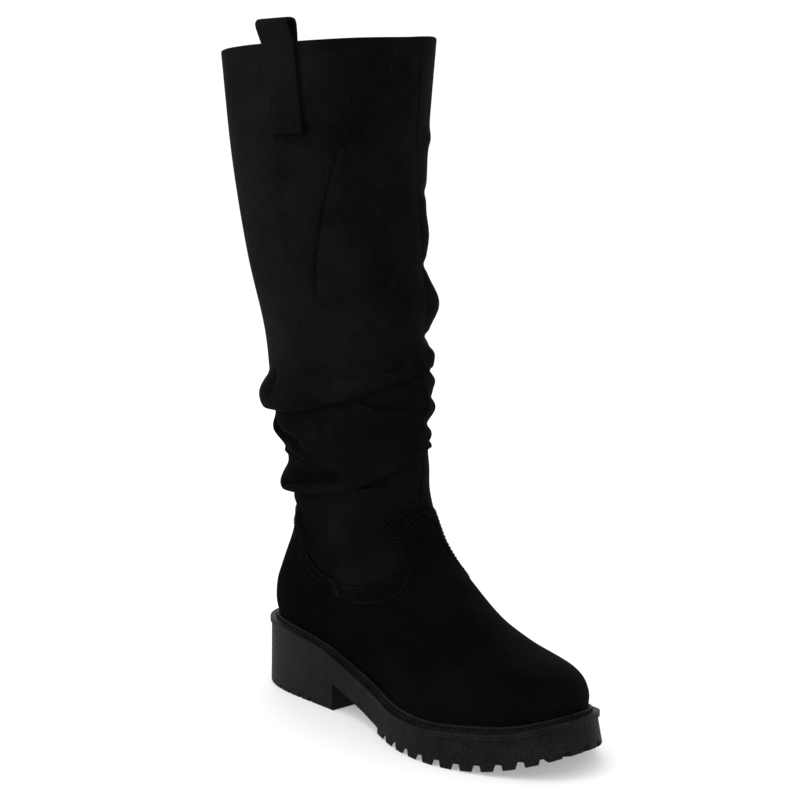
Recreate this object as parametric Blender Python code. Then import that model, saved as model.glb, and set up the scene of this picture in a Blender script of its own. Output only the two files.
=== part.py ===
"""Slouch boot, right foot: unit sole, welt, insole, foot upper, slouched shaft, ankle band and pull loop.

Sizes are in millimetres: x runs from the back of the heel to the toe, y to the inner side of the
foot and z up from the floor. MM turns them into metres on the way into a mesh.

The skin of the boot is one function of two numbers. The angle goes round the boot: 0 at the back,
90 on the outer side, 180 at the front and 270 on the inner side. The level goes up it, from 0 at
the edge of the last's bottom to 15 at the collar.
"""

import math
from collections import namedtuple

import bmesh
import bpy
import numpy as np

MM = 0.001

# Driving dimensions
SOLE_LENGTH = 268.0
LEDGE = 7.0
UPPER_WALL = 2.2
SHAFT_WALL = 2.0
FIT_GAP = 0.35
ORIGIN = (130.5, -12.8, 0.0)

# Sole
HEEL_BREAST = 87.6
FOREFOOT_START = 140.0
SPRING_START = 208.0
TOE_SPRING = 13.4
FOREFOOT_FLARE = 2.2
FLARE_START = 132.0
FLARE_FULL = 170.0
TOE_LEDGE = 0.3
TOE_LEDGE_START = 205.0

# Tread
LUG_PITCH = 13.0
LUG_DEPTH = 4.5
LUG_GAP_FLOOR = 6.4
LUG_GAP_ROOT = 4.3
LUG_REACH = 22.0
LUG_RUN_OUT = 3.4
LUG_SLANT = (0.745, 0.667)
LUG_SLANT_SHARE = 0.85
HEEL_PITCH = 11.0
HEEL_DEPTH = 3.0
HEEL_GAP_FLOOR = 3.8
HEEL_GAP_ROOT = 2.3
HEEL_REACH = 7.0
INNER_END = 0.6
TIP_REACH_SHARE = 0.6
GROOVE_WIDTH = 5.0
FOREFOOT_GROOVES = (157.0, 173.0, 189.0)
FOREFOOT_GROOVE_HALF = 22.0
HEEL_GROOVES = (28.0, 50.0)
HEEL_GROOVE_HALF = 14.0
TREAD_START = 10.5
CUTTER_MARGIN = 6.0

# Insole, ankle band and pull loop
INSOLE_INSET = 2.9
INSOLE_THICKNESS = 2.5
BAND_WIDTH = 9.0
BAND_THICKNESS = 1.2
BAND_GAP = 0.6
LOOP_ANGLE = 111.4
LOOP_WIDTH = 19.8
LOOP_THICKNESS = 2.0
LOOP_LEAN = 0.2
LEG_RISE = 63.8

# Shape of the rolls
PINCH = 1.0

# Plan of the last's bottom: fullness either side of the centre line at stations along its length
LAST_STATION = (0.00, 0.08, 0.20, 0.36, 0.50, 0.62, 0.74, 0.86, 0.95, 1.00)
LAST_OUTER = (50.0, 42.0, 33.0, 29.0, 33.0, 43.5, 51.5, 52.0, 52.0, 53.0)
LAST_INNER = (49.5, 41.5, 33.5, 27.0, 29.5, 37.5, 45.0, 53.0, 56.0, 54.0)

# Height of the sole's top face along its length
SOLE_X = (0.0, 39.0, 78.0, 112.0, 145.0, 180.0, 213.0, 243.0, 268.0)
SOLE_TOP = (43.0, 42.0, 36.5, 27.0, 19.5, 18.0, 20.5, 24.5, 32.6)

# Underside of the waist, from the heel breast to the step of the forefoot
ARCH = ((HEEL_BREAST, 17.2), (102.0, 13.2), (117.0, 9.2), (131.0, 5.6), (FOREFOOT_START, 4.2))

# Side of the sole from its top edge to the floor: what the height is measured from, the distance,
# and how far the side stands out from the edge of the ledge
SOLE_SIDE = (
    ("top", 0.0, -0.8),
    ("top", 0.9, 0.0),
    ("top", 2.5, 0.0),
    ("top", 3.3, -0.9),
    ("floor", 1.2, -0.3),
    ("floor", 0.0, -1.2),
)

# Section of the welt: distance out from the last's edge and height above the sole, over the bead,
# down the stitched face and out along the ledge. Its inner side follows the skin.
WELT_SECTION = ((2.1, 4.4), (2.75, 3.8), (2.6, 1.5), (3.4, 0.95), (6.6, 1.0), (6.8, FIT_GAP))
WELT_INNER_LEVELS = (0.02, 0.28)
WELT_HEEL_SHARE = 0.7
WELT_LOW_TO = 60.0
WELT_FULL_FROM = 150.0

# Sections of the skin, one for each level from the sole to the collar: where the section meets the
# back and the front, the share of the last's plan in its outline, how far it stands out from that
# plan, the half width of the oval it turns into, its centre, and how much of the sole's bow is left
SECTION_COLUMNS = ("back_x", "back_z", "front_x", "front_z", "plan", "grow", "oval", "centre", "bow")
SECTIONS = (
    (7.0, 43.0, 261.0, 29.9, 1.00, 0.0, 31.0, 0.0, 1.00),
    (5.0, 55.0, 262.0, 44.0, 1.00, 2.6, 31.0, -1.0, 0.90),
    (5.5, 68.0, 252.0, 53.5, 0.96, 1.8, 31.0, -0.8, 0.75),
    (10.0, 79.5, 220.5, 59.0, 0.80, 2.2, 29.0, -0.4, 0.55),
    (13.5, 90.0, 191.5, 68.5, 0.60, 2.4, 29.0, 0.8, 0.35),
    (17.0, 100.0, 168.5, 82.5, 0.42, 2.4, 29.5, 2.0, 0.20),
    (19.5, 108.5, 146.0, 100.5, 0.27, 2.4, 29.6, 2.5, 0.10),
    (22.0, 118.5, 133.0, 122.0, 0.15, 2.4, 29.8, 2.2, 0.00),
    (20.0, 130.0, 128.0, 144.5, 0.06, 2.4, 30.5, 1.4, 0.00),
    (19.0, 145.5, 129.0, 166.5, 0.00, 2.4, 32.0, 0.0, 0.00),
    (15.0, 167.0, 131.5, 188.5, 0.00, 2.4, 36.5, -2.8, 0.00),
    (11.5, 194.0, 129.5, 212.0, 0.00, 2.4, 40.5, -4.2, 0.00),
    (8.5, 233.0, 127.0, 246.0, 0.00, 2.4, 43.8, -4.6, 0.00),
    (1.0, 281.0, 124.0, 290.5, 0.00, 2.4, 50.5, -7.4, 0.00),
    (-4.4, 339.5, 123.8, 348.0, 0.00, 2.4, 57.3, -9.8, 0.00),
    (-8.8, 402.6, 130.0, 412.5, 0.00, 2.4, 62.8, -11.0, 0.00),
)
COLLAR_LEVEL = len(SECTIONS) - 1.0

# Slouch rolls from the ankle up. Each row has the level of the roll's lower crease and how far the
# roll stands out, both at the back, outer side, front and inner side, how far it hangs for each
# millimetre that it stands out, and the facet rings that it takes.
Roll = namedtuple("Roll", "crease push hang rings")
ROLLS = (
    Roll((7.20, 7.10, 7.80, 7.45), (0.8, 0.8, 0.8, 1.0), 0.0, 2),
    Roll((7.82, 7.80, 8.45, 8.50), (9.4, 5.0, 2.6, 3.6), 0.08, 5),
    Roll((8.62, 8.56, 8.95, 9.05), (3.2, 1.0, 1.2, 1.4), 0.0, 3),
    Roll((9.55, 9.05, 9.70, 9.75), (5.6, 2.0, 2.8, 3.6), 0.0, 5),
    Roll((10.50, 10.46, 10.95, 10.90), (9.4, 5.6, 2.8, 3.8), 0.35, 6),
)
ROLLS_END = (11.42, 11.28, 11.70, 11.65)

# Puckers of the gathered front seam: angle and level of the middle, the spread of each, and the push
Pucker = namedtuple("Pucker", "angle level angle_spread level_spread push")
PUCKERS = (
    Pucker(232.0, 12.22, 42.0, 0.52, 8.0),
    Pucker(230.0, 13.10, 34.0, 0.32, 2.0),
    Pucker(230.0, 10.88, 34.0, 0.30, 4.0),
    Pucker(228.0, 10.10, 34.0, 0.30, 2.0),
)

# Seam between foot and shaft: the level at angles from the back round to the front
SEAM_ANGLE = (0.0, 30.0, 42.0, 50.0, 60.0, 78.0, 107.0, 128.0, 142.0, 150.0, 160.0, 180.0)
SEAM_LEVEL = (6.55, 6.50, 6.10, 5.10, 4.20, 3.85, 4.60, 5.15, 5.75, 6.50, 7.15, 7.40)

# Route of the pull loop: distance out from the skin and height above the collar
LOOP_ROUTE = (
    (1.5, -52.6),
    (1.5, -40.0),
    (1.5, -28.0),
    (1.5, -16.0),
    (1.6, -5.0),
    (1.8, 1.0),
    (2.5, 6.0),
    (2.2, 11.0),
    (-0.6, 13.0),
    (-3.2, 11.0),
    (-4.0, 6.0),
    (-4.0, 1.0),
    (-3.7, -5.0),
    (-3.6, -16.0),
    (-3.6, -28.0),
    (-3.6, -40.0),
)

# Finishes: base colour, roughness
FINISHES = {
    "outsole": ((0.020, 0.020, 0.021), 0.62),
    "welt": ((0.030, 0.030, 0.031), 0.55),
    "insole": ((0.012, 0.012, 0.013), 0.85),
    "upper": ((0.006, 0.006, 0.007), 0.92),
    "shaft": ((0.006, 0.006, 0.007), 0.92),
    "ankle_band": ((0.007, 0.007, 0.008), 0.90),
    "pull_loop": ((0.007, 0.007, 0.008), 0.88),
}

# Columns of facets round the boot, closer together where the seam climbs
EVEN_COLUMNS = 40
SEAM_COLUMNS = (48.0, 57.0, 140.0, 148.0)
BAND_COLUMNS = 76
LOOP_COLUMNS = 5

# Rings of facets as shares of the way up: the foot to its seam, the ankle to the lowest roll, and
# the leg from the highest roll to the collar
UPPER_RINGS = (0.0, 0.07, 0.15, 0.24, 0.35, 0.48, 0.62, 0.74, 0.85, 0.93, 1.0)
ANKLE_RINGS = (0.0, 0.16, 0.38, 0.68)
LEG_RINGS = (0.0, 0.08, 0.17, 0.27, 0.40, 0.68, 1.0)
UPPER_FOOT_LEVEL = 0.03

# Small changes of angle and level that the slopes of the skin are taken over
ANGLE_STEP = 0.5
LEVEL_STEP = 0.01


def column_angles():
    """Angles of the facet columns, the same on both sides of the boot."""
    even = {360.0 * i / EVEN_COLUMNS for i in range(EVEN_COLUMNS)}
    return np.array(sorted(even | set(SEAM_COLUMNS) | {360.0 - angle for angle in SEAM_COLUMNS}))


COLUMNS = column_angles()


def unit(vectors):
    """Vectors of length one with the same directions."""
    return vectors / np.linalg.norm(vectors, axis=-1, keepdims=True)


def curve(knots, values, at):
    """Smooth curve through a table, made of cubic pieces that share their slopes."""
    knots = np.asarray(knots, float)
    values = np.asarray(values, float)
    slopes = np.gradient(values, knots)
    piece = np.clip(np.searchsorted(knots, at) - 1, 0, len(knots) - 2)
    span = knots[piece + 1] - knots[piece]
    t = np.clip((at - knots[piece]) / span, 0.0, 1.0)
    start = (2 * t**3 - 3 * t**2 + 1) * values[piece] + (t**3 - 2 * t**2 + t) * span * slopes[piece]
    end = (3 * t**2 - 2 * t**3) * values[piece + 1] + (t**3 - t**2) * span * slopes[piece + 1]
    return start + end


def around(four, angle):
    """Smooth value round the boot through those at the back, outer side, front and inner side."""
    back, outer, front, inner = four
    turn = np.radians(angle)
    mean = (back + outer + front + inner) / 4
    fore_aft = (back - front) / 2 * np.cos(turn)
    sideways = (outer - inner) / 2 * np.sin(turn)
    return mean + fore_aft + sideways + (back - outer + front - inner) / 4 * np.cos(2 * turn)


def sole_top(x):
    """Height of the sole's top face."""
    return curve(SOLE_X, SOLE_TOP, np.clip(x, 0.0, SOLE_LENGTH))


def sole_floor(x):
    """Height of the sole's underside: flat on the floor, then curved up to the toe."""
    rise = np.clip((x - SPRING_START) / (SOLE_LENGTH - SPRING_START), 0.0, None)
    return TOE_SPRING * rise**2


def last_half_width(along, sine):
    """Half width of the last's bottom on the side that the sine of the angle gives."""
    outer = curve(LAST_STATION, LAST_OUTER, along)
    inner = curve(LAST_STATION, LAST_INNER, along)
    return sine * np.where(sine >= 0, outer, inner)


def plan_edge(angle, grow):
    """Points of the last's bottom edge in plan, moved out by a margin."""
    def edge(turn):
        along = (1 - np.cos(turn)) / 2
        x = LEDGE + along * (SOLE_LENGTH - 2 * LEDGE)
        return np.stack([x, -last_half_width(along, np.sin(turn))], -1)

    turn = np.radians(angle)
    step = 1e-3
    run = unit(edge(turn + step) - edge(turn - step))
    outward = np.stack([run[..., 1], -run[..., 0]], -1)
    return edge(turn) + np.asarray(grow)[..., None] * outward


def section(level):
    """Values of every column of the sections at a level."""
    rows = np.array(SECTIONS)
    levels = np.arange(len(SECTIONS))
    return {name: curve(levels, rows[:, i], level) for i, name in enumerate(SECTION_COLUMNS)}


def smooth_skin(angle, level):
    """Outer surface of foot and shaft without the rolls."""
    s = section(level)
    along = (1 - np.cos(np.radians(angle))) / 2
    sine = np.sin(np.radians(angle))
    x = s["back_x"] + along * (s["front_x"] - s["back_x"])
    straight = SOLE_TOP[0] + along * (SECTIONS[0][3] - SOLE_TOP[0])
    bow = sole_top(LEDGE + along * (SOLE_LENGTH - 2 * LEDGE)) - straight
    z = s["back_z"] + along * (s["front_z"] - s["back_z"]) + s["bow"] * bow
    foot = last_half_width(along, sine) + sine * s["grow"]
    y = s["centre"] - s["plan"] * foot - (1 - s["plan"]) * sine * s["oval"]
    return np.stack(np.broadcast_arrays(x, y, z), -1)


def plan_outward(angle, level):
    """Level direction straight out of a section."""
    run = smooth_skin(angle + ANGLE_STEP, level) - smooth_skin(angle - ANGLE_STEP, level)
    return unit(np.stack([run[..., 1], -run[..., 0], np.zeros_like(run[..., 0])], -1))


def roll_levels():
    """Creases of the rolls from the lowest up, with the end of the last roll."""
    return [roll.crease for roll in ROLLS] + [ROLLS_END]


def skin(angle, level):
    """Outer surface of foot and shaft with the slouch rolls."""
    angle, level = np.broadcast_arrays(np.asarray(angle, float), np.asarray(level, float))
    point = smooth_skin(angle, level)
    outward = plan_outward(angle, level)
    creases = roll_levels()
    for lower, upper, roll in zip(creases, creases[1:], ROLLS):
        low, high = around(lower, angle), around(upper, angle)
        phase = 2 * np.pi * np.clip((level - low) / (high - low), 0.0, 1.0) - np.pi
        out = around(roll.push, angle) * (1 + np.cos(phase)) / 2
        point = point + out[..., None] * outward
        point[..., 2] += PINCH * np.sin(phase) - roll.hang * out
    for pucker in PUCKERS:
        turn = np.clip(np.abs(angle - pucker.angle) / pucker.angle_spread, 0.0, 1.0)
        climb = np.clip(np.abs(level - pucker.level) / pucker.level_spread, 0.0, 1.0)
        out = pucker.push * np.cos(np.pi / 2 * turn) ** 2 * np.cos(np.pi / 2 * climb) ** 2
        point = point + out[..., None] * outward
    return point


def skin_normal(angle, level):
    """Unit normal of the skin, out of the boot."""
    top = np.minimum(level + LEVEL_STEP, COLLAR_LEVEL)
    low = np.maximum(level - LEVEL_STEP, 0.0)
    up = skin(angle, top) - skin(angle, low)
    run = skin(angle + ANGLE_STEP, level) - skin(angle - ANGLE_STEP, level)
    return unit(np.cross(run, up))


def seam_level(angle):
    """Level of the seam between foot and shaft, the same on both sides of the boot."""
    folded = np.abs((np.asarray(angle, float) + 180.0) % 360.0 - 180.0)
    return curve(SEAM_ANGLE, SEAM_LEVEL, folded)


def seam_shift(angle, distance):
    """Change of level that moves the seam by a distance along the skin."""
    level = seam_level(angle)
    rise = smooth_skin(angle, level + LEVEL_STEP) - smooth_skin(angle, level - LEVEL_STEP)
    return distance * 2 * LEVEL_STEP / np.linalg.norm(rise, axis=-1)


def beside_seam(angle, across):
    """Angle and level of the skin points at a distance across the seam from its points at even angles."""
    rounds = 3
    level = seam_level(angle)
    seam = skin(angle, level)
    along = unit(np.roll(seam, -1, axis=0) - np.roll(seam, 1, axis=0))
    for _ in range(rounds):
        side = unit(np.cross(skin_normal(angle, level), along))
        missing = seam + across * side - skin(angle, level)
        by_angle = (skin(angle + ANGLE_STEP, level) - skin(angle - ANGLE_STEP, level)) / (2 * ANGLE_STEP)
        by_level = (skin(angle, level + LEVEL_STEP) - skin(angle, level - LEVEL_STEP)) / (2 * LEVEL_STEP)
        slopes = np.stack([by_angle, by_level], -1)
        change = np.einsum("nij,nj->ni", np.linalg.pinv(slopes), missing)
        angle = angle + change[:, 0]
        level = level + change[:, 1]
    return angle, level


def clear_scene():
    """Remove every object of the scene."""
    for old in list(bpy.data.objects):
        bpy.data.objects.remove(old, do_unlink=True)


def finish(name):
    """Material of a piece."""
    colour, roughness = FINISHES[name]
    material = bpy.data.materials.new(name + "_finish")
    material.use_nodes = True
    shader = material.node_tree.nodes["Principled BSDF"]
    shader.inputs["Base Color"].default_value = (*colour, 1.0)
    shader.inputs["Roughness"].default_value = roughness
    shader.inputs["Metallic"].default_value = 0.0
    return material


def make_object(name, points, faces, frame, smooth=True):
    """Closed object from points in millimetres and faces, with its normals turned out."""
    mesh = bpy.data.meshes.new(name)
    mesh.from_pydata([tuple(MM * value for value in point) for point in points], [], faces)
    work = bmesh.new()
    work.from_mesh(mesh)
    bmesh.ops.triangulate(work, faces=work.faces[:])
    bmesh.ops.recalc_face_normals(work, faces=work.faces[:])
    work.to_mesh(mesh)
    work.free()
    if smooth:
        mesh.shade_smooth()
        mesh.set_sharp_from_angle(angle=math.radians(40.0))
    piece = bpy.data.objects.new(name, mesh)
    bpy.context.collection.objects.link(piece)
    piece.parent = frame
    if name in FINISHES:
        mesh.materials.append(finish(name))
    return piece


def ring_body(name, rows, frame):
    """Solid ring: rows of points round the boot, each joined to the next and the last to the first."""
    rows = [np.asarray(row) for row in rows]
    count = len(rows[0])
    faces = []
    for r in range(len(rows)):
        here, above = r * count, (r + 1) % len(rows) * count
        for c in range(count):
            beside = (c + 1) % count
            faces.append((here + c, here + beside, above + beside, above + c))
    return make_object(name, np.concatenate(rows), faces, frame)


def ladder(first, count, turned):
    """Faces that close one row of an outline, rung by rung from the heel to the toe."""
    faces = [(first, first + 1, first + count - 1)]
    half = count // 2
    for i in range(1, half - 1):
        faces.append((first + i, first + i + 1, first + count - i - 1, first + count - i))
    faces.append((first + half - 1, first + half, first + half + 1))
    return [face[::-1] for face in faces] if turned else faces


def slab_body(name, rows, frame):
    """Solid slab: outline rows from the top down, closed by ladders at the top and the bottom."""
    count = len(rows[0])
    faces = ladder(0, count, False)
    for r in range(len(rows) - 1):
        here, below = r * count, (r + 1) * count
        for c in range(count):
            beside = (c + 1) % count
            faces.append((here + c, here + beside, below + beside, below + c))
    faces += ladder((len(rows) - 1) * count, count, True)
    return make_object(name, np.concatenate(rows), faces, frame)


def walled_body(name, levels, wall, frame):
    """Hollow solid between the skin and its offset inwards; levels has one row for each ring."""
    angles = np.broadcast_to(COLUMNS, (len(levels), len(COLUMNS)))
    outside = skin(angles, levels)
    inside = outside - wall * skin_normal(angles, levels)
    return ring_body(name, [*outside, *inside[::-1]], frame)


def cut(piece, cutter):
    """Take the cutter out of the piece."""
    cutter.hide_render = True
    cutter.display_type = "WIRE"
    modifier = piece.modifiers.new(cutter.name, "BOOLEAN")
    modifier.operation = "DIFFERENCE"
    modifier.solver = "EXACT"
    modifier.object = cutter


def arch_cutter(frame):
    """Wedge under the waist, with the flat heel breast at its back."""
    half_width = SOLE_LENGTH / 3
    profile = [(HEEL_BREAST, -CUTTER_MARGIN), *ARCH, (FOREFOOT_START, -CUTTER_MARGIN)]
    points = [(x, side * half_width, z) for side in (-1, 1) for x, z in profile]
    count = len(profile)
    faces = [tuple(range(count)), tuple(range(2 * count - 1, count - 1, -1))]
    for i in range(count):
        beside = (i + 1) % count
        faces.append((i, count + i, count + beside, beside))
    return make_object("arch_cutter", points, faces, frame, smooth=False)


def notch(place, outward, heights, gaps, reach, past_edge, inner_end=1.0, slope=0.0, run_out=0.0):
    """Corners of one tapered notch, from its open bottom to its root, inwards and outwards of a place.

    The inner end is a share of the gaps' width, the slope is how steeply the notch climbs outwards, and
    the run-out is how much shallower it is at its inner end.
    """
    run = np.array([-outward[1], outward[0]])
    corners = []
    for z, gap, drop in zip(heights, gaps, (0.0, run_out)):
        for side, out in ((-inner_end, -reach), (inner_end, -reach), (1, past_edge), (-1, past_edge)):
            level = z + slope * out - (drop if out < 0 else 0.0)
            corners.append((*(place + out * outward + side * gap / 2 * run), level))
    return corners


def slanted(outward, share):
    """Direction turned from square to the edge towards the lugs' slant, not at the toe's tip."""
    slant = np.array([LUG_SLANT[0], np.copysign(LUG_SLANT[1], outward[1])])
    turn = share * abs(outward[1])
    direction = (1.0 - turn) * outward + turn * slant
    return direction / np.linalg.norm(direction)


def edge_notches(first_x, last_x, pitch, depth, gaps, reach, slant_share=0.0, run_out=0.0):
    """Notches at an even pitch along the stretch of the sole's edge between two distances from the heel."""
    fine = np.linspace(0.0, 360.0, 1441)
    edge = plan_edge(fine, np.full_like(fine, LEDGE))
    inside = plan_edge(fine, np.full_like(fine, LEDGE - 1.0))
    length = np.concatenate([[0.0], np.cumsum(np.linalg.norm(np.diff(edge, axis=0), axis=1))])
    if first_x > 0.0:
        stretch = np.where((edge[:, 0] >= first_x) & (edge[:, 0] <= last_x))[0]
        start, end = length[stretch[0]], length[stretch[-1]]
    else:
        outer = np.where((edge[:, 0] <= last_x) & (fine < 180.0))[0]
        start, end = -length[outer[-1]], length[outer[-1]]
    floor_gap, root_gap = gaps
    cutter_gap = root_gap + (floor_gap - root_gap) * (depth + CUTTER_MARGIN) / depth
    boxes = []
    for distance in np.arange(start, end, pitch):
        at = distance % length[-1]
        place = np.array([np.interp(at, length, edge[:, k]) for k in (0, 1)])
        outward = place - np.array([np.interp(at, length, inside[:, k]) for k in (0, 1)])
        floor = float(sole_floor(place[0]))
        direction = slanted(outward, slant_share)
        inwards = reach * (TIP_REACH_SHARE + (1.0 - TIP_REACH_SHARE) * abs(outward[1]))
        slope = (floor - float(sole_floor(place[0] - inwards * direction[0]))) / inwards
        heights = (floor - CUTTER_MARGIN, floor + depth)
        cut_gaps = np.array([cutter_gap, root_gap]) * (direction @ outward)
        sizes = (heights, cut_gaps, inwards, CUTTER_MARGIN)
        boxes.append(notch(place, direction, *sizes, INNER_END, slope, run_out))
    return boxes


def cross_grooves(stations, half_length, depth):
    """Grooves across the middle of the tread."""
    across = np.array([0.0, -1.0])
    heights = (-CUTTER_MARGIN, depth)
    gaps = (GROOVE_WIDTH, GROOVE_WIDTH)
    return [notch(np.array([x, 0.0]), across, heights, gaps, half_length, half_length) for x in stations]


def tread_cutter(frame):
    """All notches and grooves of the tread in one cutter."""
    forefoot = (FOREFOOT_START + TREAD_START, SOLE_LENGTH + TREAD_START)
    lug_gaps = (LUG_GAP_FLOOR, LUG_GAP_ROOT)
    lugs = (LUG_PITCH, LUG_DEPTH, lug_gaps, LUG_REACH, LUG_SLANT_SHARE, LUG_RUN_OUT)
    boxes = edge_notches(*forefoot, *lugs)
    heel = (0.0, HEEL_BREAST - TREAD_START)
    boxes += edge_notches(*heel, HEEL_PITCH, HEEL_DEPTH, (HEEL_GAP_FLOOR, HEEL_GAP_ROOT), HEEL_REACH)
    boxes += cross_grooves(FOREFOOT_GROOVES, FOREFOOT_GROOVE_HALF, LUG_DEPTH - 1.0)
    boxes += cross_grooves(HEEL_GROOVES, HEEL_GROOVE_HALF, HEEL_DEPTH)
    sides = ((0, 1, 2, 3), (7, 6, 5, 4), (0, 4, 5, 1), (1, 5, 6, 2), (2, 6, 7, 3), (3, 7, 4, 0))
    points = [corner for box in boxes for corner in box]
    faces = [tuple(8 * b + corner for corner in side) for b in range(len(boxes)) for side in sides]
    return make_object("tread_cutter", points, faces, frame, smooth=False)


def build_outsole(frame):
    """Unit sole with its heel: stepped side, arch, toe spring and lugs."""
    rows = []
    x = plan_edge(COLUMNS, np.full_like(COLUMNS, LEDGE))[:, 0]
    for measured_from, distance, stand_out in SOLE_SIDE:
        wider = TOE_LEDGE * np.clip((x - TOE_LEDGE_START) / (SOLE_LENGTH - TOE_LEDGE_START), 0.0, 1.0)
        if measured_from == "floor":
            wider = FOREFOOT_FLARE * np.clip((x - FLARE_START) / (FLARE_FULL - FLARE_START), 0.0, 1.0)
        edge = plan_edge(COLUMNS, LEDGE + stand_out + wider)
        height = sole_top(edge[:, 0]) - distance
        if measured_from == "floor":
            height = sole_floor(edge[:, 0]) + distance
        rows.append(np.column_stack([edge, height]))
    outsole = slab_body("outsole", rows, frame)
    cut(outsole, arch_cutter(frame))
    cut(outsole, tread_cutter(frame))


def welt_share(x):
    """Share of the welt's full height: it is lower round the heel."""
    return np.interp(x, (WELT_LOW_TO, WELT_FULL_FROM), (WELT_HEEL_SHARE, 1.0))


def build_welt(frame):
    """Welt on the ledge: a bead beside the upper, a stitched face under it and a thin rim."""
    rows = []
    share = welt_share(plan_edge(COLUMNS, np.full_like(COLUMNS, LEDGE))[:, 0])
    for level in WELT_INNER_LEVELS:
        inner = smooth_skin(COLUMNS, level * share) + FIT_GAP * plan_outward(COLUMNS, level * share)
        inner[:, 2] += FIT_GAP
        rows.append(inner)
    for out, rise in WELT_SECTION:
        edge = plan_edge(COLUMNS, np.full_like(COLUMNS, out))
        rows.append(np.column_stack([edge, sole_top(edge[:, 0]) + np.maximum(rise * share, FIT_GAP)]))
    ring_body("welt", rows, frame)


def build_insole(frame):
    """Insole on the sole, inside the upper's lower edge."""
    edge = plan_edge(COLUMNS, np.full_like(COLUMNS, -INSOLE_INSET))
    low = sole_top(edge[:, 0]) + FIT_GAP
    rows = [np.column_stack([edge, low + INSOLE_THICKNESS]), np.column_stack([edge, low])]
    slab_body("insole", rows, frame)


def build_upper(frame):
    """Vamp and counter: hollow, open underneath and at the ankle."""
    top = seam_level(COLUMNS) - seam_shift(COLUMNS, FIT_GAP)
    levels = [UPPER_FOOT_LEVEL + step * (top - UPPER_FOOT_LEVEL) for step in UPPER_RINGS]
    walled_body("upper", np.array(levels), UPPER_WALL, frame)


def build_shaft(frame):
    """Shaft: hollow, from the seam at the ankle through the rolls to the collar."""
    bottom = seam_level(COLUMNS) + seam_shift(COLUMNS, FIT_GAP)
    creases = [around(row, COLUMNS) for row in roll_levels()]
    levels = [bottom + step * (creases[0] - bottom) for step in ANKLE_RINGS]
    for low, high, roll in zip(creases, creases[1:], ROLLS):
        levels += [low + ring / roll.rings * (high - low) for ring in range(roll.rings)]
    levels += [creases[-1] + step * (COLLAR_LEVEL - creases[-1]) for step in LEG_RINGS]
    walled_body("shaft", np.array(levels), SHAFT_WALL, frame)


def build_ankle_band(frame):
    """Band over the seam between foot and shaft."""
    rows = []
    even_angles = np.arange(BAND_COLUMNS) * 360.0 / BAND_COLUMNS
    for across, lift in ((-0.5, 0.0), (-0.5, 1.0), (0.5, 1.0), (0.5, 0.0)):
        angle, level = beside_seam(even_angles, across * BAND_WIDTH)
        height = BAND_GAP + lift * BAND_THICKNESS
        rows.append(skin(angle, level) + height * skin_normal(angle, level))
    ring_body("ankle_band", rows, frame)


def loop_point(shift, out, height):
    """Point of the pull loop: a distance along the collar, out from the skin and above the collar."""
    level = COLLAR_LEVEL + min(height, 0.0) / LEG_RISE
    lean = LOOP_LEAN * max(height, 0.0)
    angle = LOOP_ANGLE + np.degrees((shift - lean) / section(level)["oval"])
    point = skin(angle, level) + out * plan_outward(angle, level)
    return point + np.array([0.0, 0.0, max(height, 0.0)])


def build_pull_loop(frame):
    """Strap folded over the collar, with room for a finger under its crown."""
    shifts = np.linspace(-0.5, 0.5, LOOP_COLUMNS) * LOOP_WIDTH
    turns = unit(np.gradient(np.array(LOOP_ROUTE), axis=0))
    half = LOOP_THICKNESS / 2
    points = []
    for (out, height), (along_out, along_up) in zip(LOOP_ROUTE, turns):
        near = [loop_point(s, out - half * along_up, height + half * along_out) for s in shifts]
        far = [loop_point(s, out + half * along_up, height - half * along_out) for s in shifts]
        points += [*far, *near[::-1]]
    count = 2 * LOOP_COLUMNS
    last = (len(LOOP_ROUTE) - 1) * count
    faces = []
    for here in range(0, last, count):
        for c in range(count):
            beside = (c + 1) % count
            faces.append((here + c, here + beside, here + count + beside, here + count + c))
    for first, turned in ((0, True), (last, False)):
        for i in range(LOOP_COLUMNS - 1):
            rung = (first + i, first + i + 1, first + count - i - 2, first + count - i - 1)
            faces.append(rung[::-1] if turned else rung)
    make_object("pull_loop", points, faces, frame)


def main():
    """Build every piece under one empty that puts the origin below the middle of the boot."""
    clear_scene()
    frame = bpy.data.objects.new("boot_frame", None)
    bpy.context.collection.objects.link(frame)
    frame.location = [-MM * value for value in ORIGIN]
    build_outsole(frame)
    build_welt(frame)
    build_insole(frame)
    build_upper(frame)
    build_shaft(frame)
    build_ankle_band(frame)
    build_pull_loop(frame)


main()
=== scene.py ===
"""Looks of a right slouch boot: suede-like foot, slouched shaft, ankle band, pull loop, welt and lug sole.

Shapes are worked out in millimetres: x runs from the back of the heel to the toe, y to the inner side of
the foot and z up from the floor. The skin of the boot is a function of two numbers: an angle round the boot
(0 at the back, 90 on the outer side, 180 at the front, 270 on the inner side) and a level up it (0 at the
sole, 15 at the collar).
"""

import logging
import math
from dataclasses import dataclass, field, replace
from enum import Enum
from typing import Any, Callable, Optional, Sequence, Union

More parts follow.
